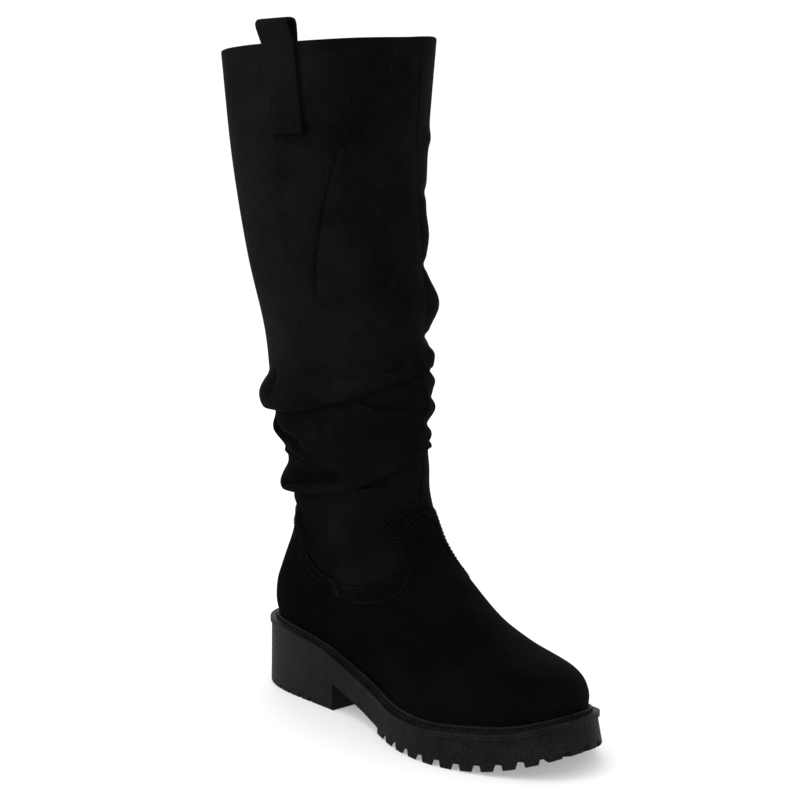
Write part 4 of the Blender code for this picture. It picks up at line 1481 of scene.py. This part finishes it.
@dataclass(frozen=True)
class PullLoop:
    """Strap folded over the collar on the outer side, with a sewn box at its foot."""

    form: BootForm
    angle: float = 111.4
    width: float = 19.8
    thickness: float = 2.0
    outer_lean: float = 0.31
    inner_lean: float = 0.05
    leg_lean: float = 0.05
    leg_taper: float = 0.086
    lean_from: float = -3.0
    lean_span: float = 4.0
    edge: float = 0.75
    edge_samples: int = 7
    flat_samples: int = 15
    samples: int = 150
    route: Route = (
        (1.5, -52.6), (1.4, -40.0), (1.4, -28.0), (1.7, -16.0), (1.9, -5.0), (1.9, 1.0), (2.5, 6.0),
        (2.2, 11.0), (-0.6, 13.0), (-3.2, 11.0), (-4.0, 6.0), (-4.0, 1.0), (-3.7, -5.0), (-3.6, -16.0),
        (-3.6, -28.0), (-3.6, -40.0))
    boxes: tuple[Triple, ...] = ((1.9, -25.9, -51.0), (5.2, -29.3, -47.5))
    collar_row: float = -1.5
    collar_inset: float = 2.0
    collar_rise: float = 0.5
    stitch_samples: int = 24
    stitch: Stitching = Stitching(length=1.5, gap=1.0, thickness=0.5)

    def point(self, shift: Array, out: Array, height: Array) -> Array:
        """Points by distance along the collar, out from the skin and above the collar.

        Args:
            shift: Distances along the collar.
            out: Distances out from the skin.
            height: Heights above the collar.

        Returns:
            The points, in millimetres.
        """
        form = self.form
        shift, out, height = np.broadcast_arrays(shift, out, height)
        oval = form.sections[-1][form.columns.index("oval")]
        share = smooth_step((out - self.lean_from) / self.lean_span)
        lean = self.inner_lean + (self.outer_lean - self.inner_lean) * share
        leant = shift - lean * np.maximum(height, 0.0) - self.leg_lean * np.minimum(height, 0.0)
        turn = self.angle + np.degrees(leant / (oval + self.leg_taper * np.minimum(height, 0.0)))
        here = form.skin(turn, np.full_like(turn, form.collar_level))
        below = form.skin(turn, np.full_like(turn, form.collar_level - 1.0))
        level = form.collar_level + np.minimum(height, 0.0) / (here[..., 2] - below[..., 2])
        point = form.skin(turn, level) + out[..., None] * form.outward(turn, level)
        point[..., 2] += np.maximum(height, 0.0)
        return point

    def section(self) -> tuple[Array, Array]:
        """Strap's rounded section: distances across it and shares of its half thickness.

        Returns:
            The distances and the shares.
        """
        half = self.width / 2
        flat = np.linspace(-half + self.edge, half - self.edge, self.flat_samples)
        turn = np.linspace(-np.pi / 2, np.pi / 2, self.edge_samples)[1:-1]
        round_end = half - self.edge + self.edge * np.cos(turn)
        across = np.concatenate([flat, round_end, flat[::-1], -round_end])
        depth = np.concatenate([-np.ones_like(flat), np.sin(turn), np.ones_like(flat), -np.sin(turn)])
        return across, depth

    def build(self, workshop: Workshop, suede: Suede, thread: Thread) -> None:
        """Make the strap and its stitches.

        Args:
            workshop: Makes the pieces and hangs them on the frame.
            suede: Finish of the cloth.
            thread: Finish of the stitches.
        """
        knots = np.array(self.route)
        place = np.concatenate([[0.0], np.cumsum(np.linalg.norm(np.diff(knots, axis=0), axis=1))])
        at = np.linspace(0.0, place[-1], self.samples)
        line = np.stack([curve(place, knots[:, 0], at), curve(place, knots[:, 1], at)], -1)
        turns = unit(np.gradient(line, axis=0))
        across, depth = self.section()
        half = depth * self.thickness / 2
        out = line[:, :1] + half[None, :] * turns[:, 1:]
        height = line[:, 1:] - half[None, :] * turns[:, :1]
        points = self.point(np.broadcast_to(across, out.shape), out, height)
        count = len(across)
        faces = band_faces(self.samples, count, False)
        last = (self.samples - 1) * count
        faces += [tuple(range(count))[::-1], tuple(range(last, last + count))]
        piece = workshop.mesh("pull_loop_suede", points, faces)
        workshop.hand_over(piece, (suede.material(),), "pull_loop")
        self.sew(workshop, thread)

    def sew(self, workshop: Workshop, thread: Thread) -> None:
        """Two sewn boxes at the strap's foot and a row at the collar.

        Args:
            workshop: Makes the pieces and hangs them on the frame.
            thread: Finish of the stitches.
        """
        rows = Seamstress()
        half = self.width / 2
        top = self.route[1][0] + self.thickness / 2
        for inset, high, low in self.boxes:
            side = half - inset
            corners = ((-side, high), (side, high), (side, low), (-side, low), (-side, high))
            for start, end in zip(corners, corners[1:]):
                self.sew_line(rows, start, end, top)
        end = half - self.collar_inset
        ends = ((-end, self.collar_row), (end, self.collar_row))
        self.sew_line(rows, *ends, top + self.collar_rise)
        rows.finish(workshop, "pull_loop_stitches", thread)

    def sew_line(self, rows: Seamstress, start: Pair, end: Pair, out: float) -> None:
        """One straight row of stitches on the strap's outer face.

        Args:
            rows: Stitches so far, which the new ones join.
            start: Shift and height of the row's start.
            end: Shift and height of its end.
            out: Distance out from the skin.
        """
        shift, height = np.linspace(start, end, self.stitch_samples).T
        line = self.point(shift, np.full_like(shift, out), height)
        normal = unit(self.point(shift, np.full_like(shift, out + 1.0), height) - line)
        rows.sew(self.stitch.row(line, normal))


@dataclass(frozen=True)
class Welt:
    """Moulded welt on the ledge: a bead beside the foot, a stitched channel and a thin rim."""

    form: BootForm
    gap: float = 0.35
    columns: int = 360
    inner_levels: tuple[float, ...] = (0.02, 0.14, 0.28)
    section: Route = (
        (1.45, 4.25), (1.75, 4.5), (2.15, 4.5), (2.55, 4.3), (2.8, 3.9), (2.78, 3.55), (2.6, 3.3),
        (2.55, 2.3), (2.6, 1.5), (2.85, 1.05), (3.4, 0.9), (5.3, 0.85), (6.0, 0.9), (6.35, 1.12),
        (6.65, 1.15), (6.9, 1.0), (7.0, 0.7), (7.0, 0.06))
    rim_from: float = 4.5
    rim_span: float = 2.5
    heel_share: float = 0.7
    low_to: float = 60.0
    full_from: float = 150.0
    channel: Pair = (2.62, 2.35)
    rope: Stitching = Stitching(length=3.7, gap=0.5, thickness=1.0, slant=1.9, rise=0.05)

    def rim_out(self, x: Array, out: float) -> Array:
        """Distance out from the last's edge, wider where the ledge widens at the toe."""
        share = max(0.0, (out - self.rim_from) / self.rim_span)
        return out + share * self.form.toe_widening(x)

    def height_share(self, angle: Array) -> Array:
        """Share of the welt's full height: it is lower round the heel."""
        x = self.form.plan_edge(angle, self.form.ledge)[:, 0]
        return np.interp(x, (self.low_to, self.full_from), (self.heel_share, 1.0))

    def ring(self, angle: Array, out: float, rise: float) -> Array:
        """Points at a distance out from the last's edge and a height above the sole.

        Args:
            angle: Angles round the boot, in degrees.
            out: Distance out from the last's edge.
            rise: Height above the sole.

        Returns:
            The points, in millimetres.
        """
        x = self.form.plan_edge(angle, self.form.ledge)[:, 0]
        edge = self.form.plan_edge(angle, self.rim_out(x, out))
        height = self.form.sole_top(edge[:, 0]) + rise * self.height_share(angle)
        return np.column_stack([edge, height])

    def build(self, workshop: Workshop, rubber: Rubber, thread: Thread) -> None:
        """Make the welt and the stitches in its channel.

        Args:
            workshop: Makes the pieces and hangs them on the frame.
            rubber: Finish of the rubber.
            thread: Finish of the stitches.
        """
        angle = np.arange(self.columns) * 360.0 / self.columns
        rows = []
        for share in self.inner_levels:
            level = share * self.height_share(angle)
            inner = self.form.smooth_skin(angle, level) + self.gap * self.form.outward(angle, level)
            inner[:, 2] += self.gap
            rows.append(inner)
        rows += [self.ring(angle, out, rise) for out, rise in self.section]
        piece = workshop.sleeve("welt_rubber", rows)
        workshop.hand_over(piece, (rubber.material(),), "welt")
        turn = np.linspace(0.0, 360.0, 2 * self.columns + 1)
        line = self.ring(turn, *self.channel)
        outward = np.zeros_like(line)
        edge = self.form.plan_edge(turn, self.form.ledge)
        outward[:, :2] = unit(edge - self.form.plan_edge(turn, 0.0))
        stitches = Seamstress()
        stitches.sew(self.rope.row(line, outward))
        stitches.finish(workshop, "welt_stitches", thread)


@dataclass(frozen=True)
class Notching:
    """Notches along the sole's edge: sizes of one, and how they lie.

    The gaps are the widths at the floor and at the root. The slant share is how far the notches turn to the
    lugs' slant, and the run-out how much shallower they are at their inner ends.
    """

    pitch: float
    depth: float
    gaps: Pair
    reach: float
    slant_share: float = 0.0
    run_out: float = 0.0


Corners = list[tuple[float, ...]]


@dataclass(frozen=True)
class Outsole:
    """Unit sole with its block heel: lipped side, moulded lines at the back, arch, toe spring and lugs."""

    form: BootForm
    columns: int = 320
    side_rows: int = 64
    sharp: float = 30.0
    breast: float = 87.6
    forefoot: float = 140.0
    flare: float = 2.2
    flare_start: float = 132.0
    flare_full: float = 170.0
    lip: Route = (
        (0.0, -0.25), (0.05, -0.08), (0.2, 0.0), (0.9, 0.0), (2.2, 0.0), (2.5, -0.12), (2.7, -0.5),
        (2.95, -0.9), (3.3, -1.0), (3.8, -0.9))
    foot: Route = ((1.2, -0.3), (0.75, -0.42), (0.35, -0.75), (0.0, -1.3))
    arch: Route = (
        (87.6, 17.2), (95.0, 15.2), (102.0, 13.2), (109.5, 11.2), (117.0, 9.2), (124.0, 7.4), (131.0, 5.6),
        (140.0, 4.2))
    lugs: Notching = Notching(13.0, 4.5, (6.4, 4.3), 22.0, 0.85, 3.4)
    heel: Notching = Notching(11.0, 3.0, (3.8, 2.3), 7.0)
    lug_slant: Pair = (0.745, 0.667)
    narrow: float = 0.6
    tip_reach_share: float = 0.6
    edge_samples: int = 1441
    groove_width: float = 5.0
    forefoot_grooves: tuple[float, ...] = (157.0, 173.0, 189.0)
    forefoot_groove_half: float = 22.0
    forefoot_groove_depth: float = 3.5
    heel_grooves: tuple[float, ...] = (28.0, 50.0)
    heel_groove_half: float = 14.0
    heel_groove_depth: float = 3.0
    tread_start: float = 10.5
    margin: float = 6.0
    line_heights: tuple[float, ...] = (9.0, 13.0, 17.0, 21.0, 25.0, 29.0)
    line_depth: float = 0.16
    line_width: float = 0.55
    line_end: float = 64.0
    line_fade: float = 26.0
    line_tilt: float = 0.05

    def top_ring(self, angle: Array, down: float, stand_out: float) -> Array:
        """Row of the side at a depth below the sole's top.

        Args:
            angle: Angles round the boot, in degrees.
            down: Depth below the top.
            stand_out: How far the row stands out.

        Returns:
            The points, in millimetres.
        """
        form = self.form
        wider = form.toe_widening(form.plan_edge(angle, form.ledge)[:, 0])
        edge = form.plan_edge(angle, form.ledge + stand_out + wider)
        return np.column_stack([edge, form.sole_top(edge[:, 0]) - down])

    def floor_ring(self, angle: Array, up: float, stand_out: float) -> Array:
        """Row of the side at a height above the sole's underside, flared at the forefoot.

        Args:
            angle: Angles round the boot, in degrees.
            up: Height above the underside.
            stand_out: How far the row stands out.

        Returns:
            The points, in millimetres.
        """
        form = self.form
        x = form.plan_edge(angle, form.ledge)[:, 0]
        share = np.clip((x - self.flare_start) / (self.flare_full - self.flare_start), 0.0, 1.0)
        edge = form.plan_edge(angle, form.ledge + stand_out + self.flare * share)
        return np.column_stack([edge, form.sole_floor(edge[:, 0]) + up])

    def moulded_lines(self, angle: Array, points: Array) -> Array:
        """Side points with the moulded lines pressed into the back of the heel.

        Args:
            angle: Angles round the boot, in degrees.
            points: Points of a row of the side.

        Returns:
            The points with the lines.
        """
        turn = np.abs((angle + 180.0) % 360.0 - 180.0)
        shown = smooth_step((self.line_end - turn) / self.line_fade)
        above = points[:, 2] - self.line_tilt * turn
        depth = sum(np.exp(-(((above - height) / self.line_width) ** 2)) for height in self.line_heights)
        edge = self.form.plan_edge(angle, self.form.ledge)
        inward = unit(self.form.plan_edge(angle, self.form.ledge - 1.0) - edge)
        moved = points.copy()
        moved[:, :2] += (self.line_depth * shown * depth)[:, None] * inward
        return moved

    def build(self, workshop: Workshop, rubber: Rubber) -> None:
        """Make the sole and cut its arch and its tread.

        Args:
            workshop: Makes the pieces and hangs them on the frame.
            rubber: Finish of the rubber.
        """
        angle = np.arange(self.columns) * 360.0 / self.columns
        rows = [self.top_ring(angle, *row) for row in self.lip]
        feet = [self.floor_ring(angle, *row) for row in self.foot]
        lip = rows[-1]
        for share in np.linspace(0.0, 1.0, self.side_rows + 2)[1:-1]:
            rows.append(self.moulded_lines(angle, (1 - share) * lip + share * feet[0]))
        piece = workshop.slab("sole_rubber", rows + feet)
        for cutter in (self.arch_cutter(workshop), self.tread_cutter(workshop)):
            self.cut(piece, cutter)
        piece.data.shade_smooth()
        piece.data.set_sharp_from_angle(angle=math.radians(self.sharp))
        workshop.hand_over(piece, (rubber.material(),), "outsole")

    @staticmethod
    def cut(piece: bpy.types.Object, cutter: bpy.types.Object) -> None:
        """Take a cutter out of a piece, then remove the cutter.

        Args:
            piece: Piece to cut.
            cutter: Closed mesh to take out of it.
        """
        modifier = piece.modifiers.new("cut", "BOOLEAN")
        modifier.operation = "DIFFERENCE"
        modifier.solver = "EXACT"
        modifier.object = cutter
        scene_now = bpy.context.evaluated_depsgraph_get()
        result = bpy.data.meshes.new_from_object(piece.evaluated_get(scene_now))
        piece.modifiers.clear()
        old = piece.data
        piece.data = result
        bpy.data.meshes.remove(old)
        result.name = piece.name
        bpy.data.objects.remove(cutter, do_unlink=True)

    def arch_cutter(self, workshop: Workshop) -> bpy.types.Object:
        """Wedge under the waist, with the flat heel breast at its back.

        Args:
            workshop: Makes the pieces and hangs them on the frame.

        Returns:
            The cutter.
        """
        half = self.form.length / 3
        profile = [(self.breast, -self.margin), *self.arch, (self.forefoot, -self.margin)]
        points = [(x, side * half, z) for side in (-1, 1) for x, z in profile]
        count = len(profile)
        faces: Faces = [tuple(range(count)), tuple(range(2 * count - 1, count - 1, -1))]
        faces += [(i, count + i, count + (i + 1) % count, (i + 1) % count) for i in range(count)]
        return workshop.mesh("arch_cutter", np.array(points), faces)

    @staticmethod
    def notch(place: Array, outward: Array, heights: Pair, gaps: Sequence[float], reach: float, past: float,
              narrow: float = 1.0, slope: float = 0.0, run_out: float = 0.0) -> Corners:
        """Corners of one tapered notch, from its open bottom to its root.

        Args:
            place: Place on the sole's edge.
            outward: Direction of the notch, out of the sole.
            heights: Heights of the bottom and the root.
            gaps: Widths at the bottom and at the root.
            reach: Length inwards from the place.
            past: Length outwards from it.
            narrow: Share of the width at the inner end.
            slope: How steeply the notch climbs outwards.
            run_out: How much shallower it is at its inner end.

        Returns:
            The eight corners.
        """
        run = np.array([-outward[1], outward[0]])
        corners = []
        for z, gap, drop in zip(heights, gaps, (0.0, run_out)):
            for side, out in ((-narrow, -reach), (narrow, -reach), (1, past), (-1, past)):
                level = z + slope * out - (drop if out < 0 else 0.0)
                corners.append((*(place + out * outward + side * gap / 2 * run), level))
        return corners

    def slanted(self, outward: Array, share: float) -> Array:
        """Direction turned from square to the edge towards the lugs' slant, not at the toe's tip.

        Args:
            outward: Direction square to the edge.
            share: How far it turns.

        Returns:
            The unit direction.
        """
        slant = np.array([self.lug_slant[0], np.copysign(self.lug_slant[1], outward[1])])
        turn = share * abs(outward[1])
        return unit((1.0 - turn) * outward + turn * slant)

    def edge_notches(self, first: float, last: float, kind: Notching) -> list[Corners]:
        """Notches at an even pitch along a stretch of the sole's edge.

        Args:
            first: Distance from the heel where the stretch starts; nought goes round the heel.
            last: Distance where it ends.
            kind: Sizes of the notches.

        Returns:
            The corners of each notch.
        """
        form = self.form
        fine = np.linspace(0.0, 360.0, self.edge_samples)
        edge = form.plan_edge(fine, form.ledge)
        inside = form.plan_edge(fine, form.ledge - 1.0)
        length = np.concatenate([[0.0], np.cumsum(np.linalg.norm(np.diff(edge, axis=0), axis=1))])
        if first > 0.0:
            stretch = np.where((edge[:, 0] >= first) & (edge[:, 0] <= last))[0]
            start, end = length[stretch[0]], length[stretch[-1]]
        else:
            outer = np.where((edge[:, 0] <= last) & (fine < 180.0))[0]
            start, end = -length[outer[-1]], length[outer[-1]]
        floor_gap, root_gap = kind.gaps
        open_gap = root_gap + (floor_gap - root_gap) * (kind.depth + self.margin) / kind.depth
        boxes = []
        for distance in np.arange(start, end, kind.pitch):
            at = distance % length[-1]
            place = np.array([np.interp(at, length, edge[:, k]) for k in (0, 1)])
            outward = place - np.array([np.interp(at, length, inside[:, k]) for k in (0, 1)])
            floor = float(form.sole_floor(place[0]))
            direction = self.slanted(outward, kind.slant_share)
            tip_share = self.tip_reach_share + (1.0 - self.tip_reach_share) * abs(outward[1])
            reach = kind.reach * tip_share
            slope = (floor - float(form.sole_floor(place[0] - reach * direction[0]))) / reach
            heights = (floor - self.margin, floor + kind.depth)
            widths = np.array([open_gap, root_gap]) * (direction @ outward)
            sizes = (heights, widths, reach, self.margin)
            boxes.append(self.notch(place, direction, *sizes, self.narrow, slope, kind.run_out))
        return boxes

    def cross_grooves(self, stations: Sequence[float], half: float, depth: float) -> list[Corners]:
        """Grooves across the middle of the tread.

        Args:
            stations: Distances from the heel.
            half: Half length of a groove.
            depth: Depth of a groove.

        Returns:
            The corners of each groove.
        """
        across = np.array([0.0, -1.0])
        sizes = ((-self.margin, depth), (self.groove_width, self.groove_width), half, half)
        return [self.notch(np.array([x, 0.0]), across, *sizes) for x in stations]

    def tread_cutter(self, workshop: Workshop) -> bpy.types.Object:
        """All notches and grooves of the tread in one cutter.

        Args:
            workshop: Makes the pieces and hangs them on the frame.

        Returns:
            The cutter.
        """
        toe = (self.forefoot + self.tread_start, self.form.length + self.tread_start)
        boxes = self.edge_notches(*toe, self.lugs)
        boxes += self.edge_notches(0.0, self.breast - self.tread_start, self.heel)
        boxes += self.cross_grooves(self.forefoot_grooves, self.forefoot_groove_half,
                                    self.forefoot_groove_depth)
        boxes += self.cross_grooves(self.heel_grooves, self.heel_groove_half, self.heel_groove_depth)
        sides = ((0, 1, 2, 3), (7, 6, 5, 4), (0, 4, 5, 1), (1, 5, 6, 2), (2, 6, 7, 3), (3, 7, 4, 0))
        points = np.array([corner for box in boxes for corner in box])
        faces = [tuple(8 * b + corner for corner in side) for b in range(len(boxes)) for side in sides]
        return workshop.mesh("tread_cutter", points, faces)


@dataclass(frozen=True)
class Insole:
    """Textile sock on the sole, slightly cupped."""

    form: BootForm
    inset: float = 2.9
    gap: float = 0.35
    thickness: float = 2.5
    cup: float = 0.8
    columns: int = 160
    section: Route = ((14.0, 0.0), (7.0, 0.3), (1.0, 1.0), (0.2, 0.7), (0.0, 0.25))

    def build(self, workshop: Workshop, lining: Lining) -> None:
        """Make the insole; its section is insets and shares of the cup.

        Args:
            workshop: Makes the pieces and hangs them on the frame.
            lining: Finish of the inside.
        """
        angle = np.arange(self.columns) * 360.0 / self.columns
        low = self.thickness - self.cup
        steps = [(inset, low + share * self.cup) for inset, share in self.section]
        rows = []
        for inset, height in [*steps, (0.0, 0.0)]:
            edge = self.form.plan_edge(angle, -self.inset - inset)
            rows.append(np.column_stack([edge, self.form.sole_top(edge[:, 0]) + self.gap + height]))
        piece = workshop.slab("insole_sock", rows)
        workshop.hand_over(piece, (lining.material(),), "insole")


@dataclass(frozen=True)
class AreaLight:
    """Soft light: where it stands, its size and power, where it is aimed and how wide its beam is."""

    name: str
    place: Triple
    size: float
    power: float
    aim: Triple = (0.0, 0.0, 0.2)
    spread: float = 180.0


@dataclass(frozen=True)
class Studio:
    """Pale floor, soft light and the camera."""

    camera_place: Triple = (0.80425, -0.72271, 0.37103)
    yaw: float = 138.150
    pitch: float = -9.028
    lens: float = 82.48
    sensor: float = 36.0
    floor_size: float = 30.0
    sky: float = 1.06
    lights: tuple[AreaLight, ...] = (
        AreaLight("key_light", (-0.55, -1.25, 1.25), 1.1, 3.4),
        AreaLight("leg_light", (-0.42, -1.12, 0.62), 0.25, 0.15, (-0.07, -0.03, 0.335), 14.0),
        AreaLight("toe_light", (0.95, -0.75, 0.30), 0.3, 0.04, (0.10, -0.04, 0.03), 10.0),
        AreaLight("top_light", (-0.15, -0.30, 1.7), 1.0, 5.0),
        AreaLight("rim_light", (-1.2, 0.9, 0.9), 0.9, 6.0),
    )

    def build(self, paper: Paper) -> None:
        """Set the floor, lights, background and camera.

        Args:
            paper: Finish of the floor.
        """
        self.floor(paper)
        for light in self.lights:
            self.light(light)
        self.background()
        self.camera()
        bpy.context.scene.view_settings.view_transform = "Standard"

    def floor(self, paper: Paper) -> None:
        """Lay the floor.

        Args:
            paper: Finish of the floor.
        """
        half = self.floor_size / 2
        data = bpy.data.meshes.new("floor")
        corners = [(-half, -half, 0), (half, -half, 0), (half, half, 0), (-half, half, 0)]
        data.from_pydata(corners, [], [(0, 1, 2, 3)])
        data.materials.append(paper.material())
        sheet = bpy.data.objects.new("floor", data)
        bpy.context.scene.collection.objects.link(sheet)

    def light(self, light: AreaLight) -> None:
        """Hang one soft light, turned to what it is aimed at.

        Args:
            light: The light's place, size, power and aim.
        """
        data = bpy.data.lights.new(light.name, "AREA")
        data.shape = "DISK"
        data.size = light.size
        data.energy = light.power
        data.spread = math.radians(light.spread)
        lamp = bpy.data.objects.new(light.name, data)
        lamp.location = light.place
        aim = Vector(light.aim) - lamp.location
        lamp.rotation_euler = aim.to_track_quat("-Z", "Y").to_euler()
        bpy.context.scene.collection.objects.link(lamp)

    def background(self) -> None:
        """Light the room evenly."""
        world = bpy.data.worlds.new("studio")
        world.use_nodes = True
        shade = world.node_tree.nodes["Background"]
        shade.inputs["Color"].default_value = opaque((1.0, 1.0, 1.0))
        shade.inputs["Strength"].default_value = self.sky
        bpy.context.scene.world = world

    def camera(self) -> None:
        """Place the camera at the photograph's angle."""
        data = bpy.data.cameras.new("camera")
        data.lens = self.lens
        data.sensor_width = self.sensor
        eye = bpy.data.objects.new("camera", data)
        eye.location = self.camera_place
        yaw, pitch = math.radians(self.yaw), math.radians(self.pitch)
        level = math.cos(pitch)
        look = Vector((math.cos(yaw) * level, math.sin(yaw) * level, math.sin(pitch)))
        eye.rotation_euler = look.to_track_quat("-Z", "Y").to_euler()
        bpy.context.scene.collection.objects.link(eye)
        bpy.context.scene.camera = eye


def main() -> None:
    """Build the studio and every sub-assembly of the boot in order."""
    logging.basicConfig(level=logging.INFO, format="%(name)s %(message)s")
    form = BootForm()
    workshop = Workshop()
    suede = Suede("black_suede")
    thread = Thread("black_thread")
    lining = Lining("black_lining")
    shaft_skin = FoldedSkin(form, SHAFT_CREASES)
    foot_skin = FoldedSkin(form, FOOT_CREASES)
    Studio().build(Paper("pale_paper"))
    Outsole(form).build(workshop, Rubber("sole_rubber"))
    welt_rubber = Rubber("welt_rubber", Moulding.SMOOTH, light=(0.009, 0.009, 0.0092))
    Welt(form).build(workshop, welt_rubber, thread)
    Insole(form).build(workshop, lining)
    # Darker copy of the suede for the foot and the band, as painted shade on the lower boot, darker still
    # towards the back of the foot
    foot_suede = replace(suede, name="foot_suede", brushed=(0.0035, 0.0035, 0.0035), shade=1.0,
                         back_shade=0.48, back=-0.08, front=0.09, sheen=0.0, specular=0.012)
    Foot(foot_skin).build(workshop, foot_suede, lining, thread)
    Shaft(shaft_skin).build(workshop, suede, lining)
    AnkleBand(foot_skin).build(workshop, replace(foot_suede, name="band_suede"), thread)
    PullLoop(form).build(workshop, replace(suede, name="loop_suede"), thread)
    LOG.info("pieces: %s", ", ".join(workshop.made))


if __name__ == "__main__":
    main()
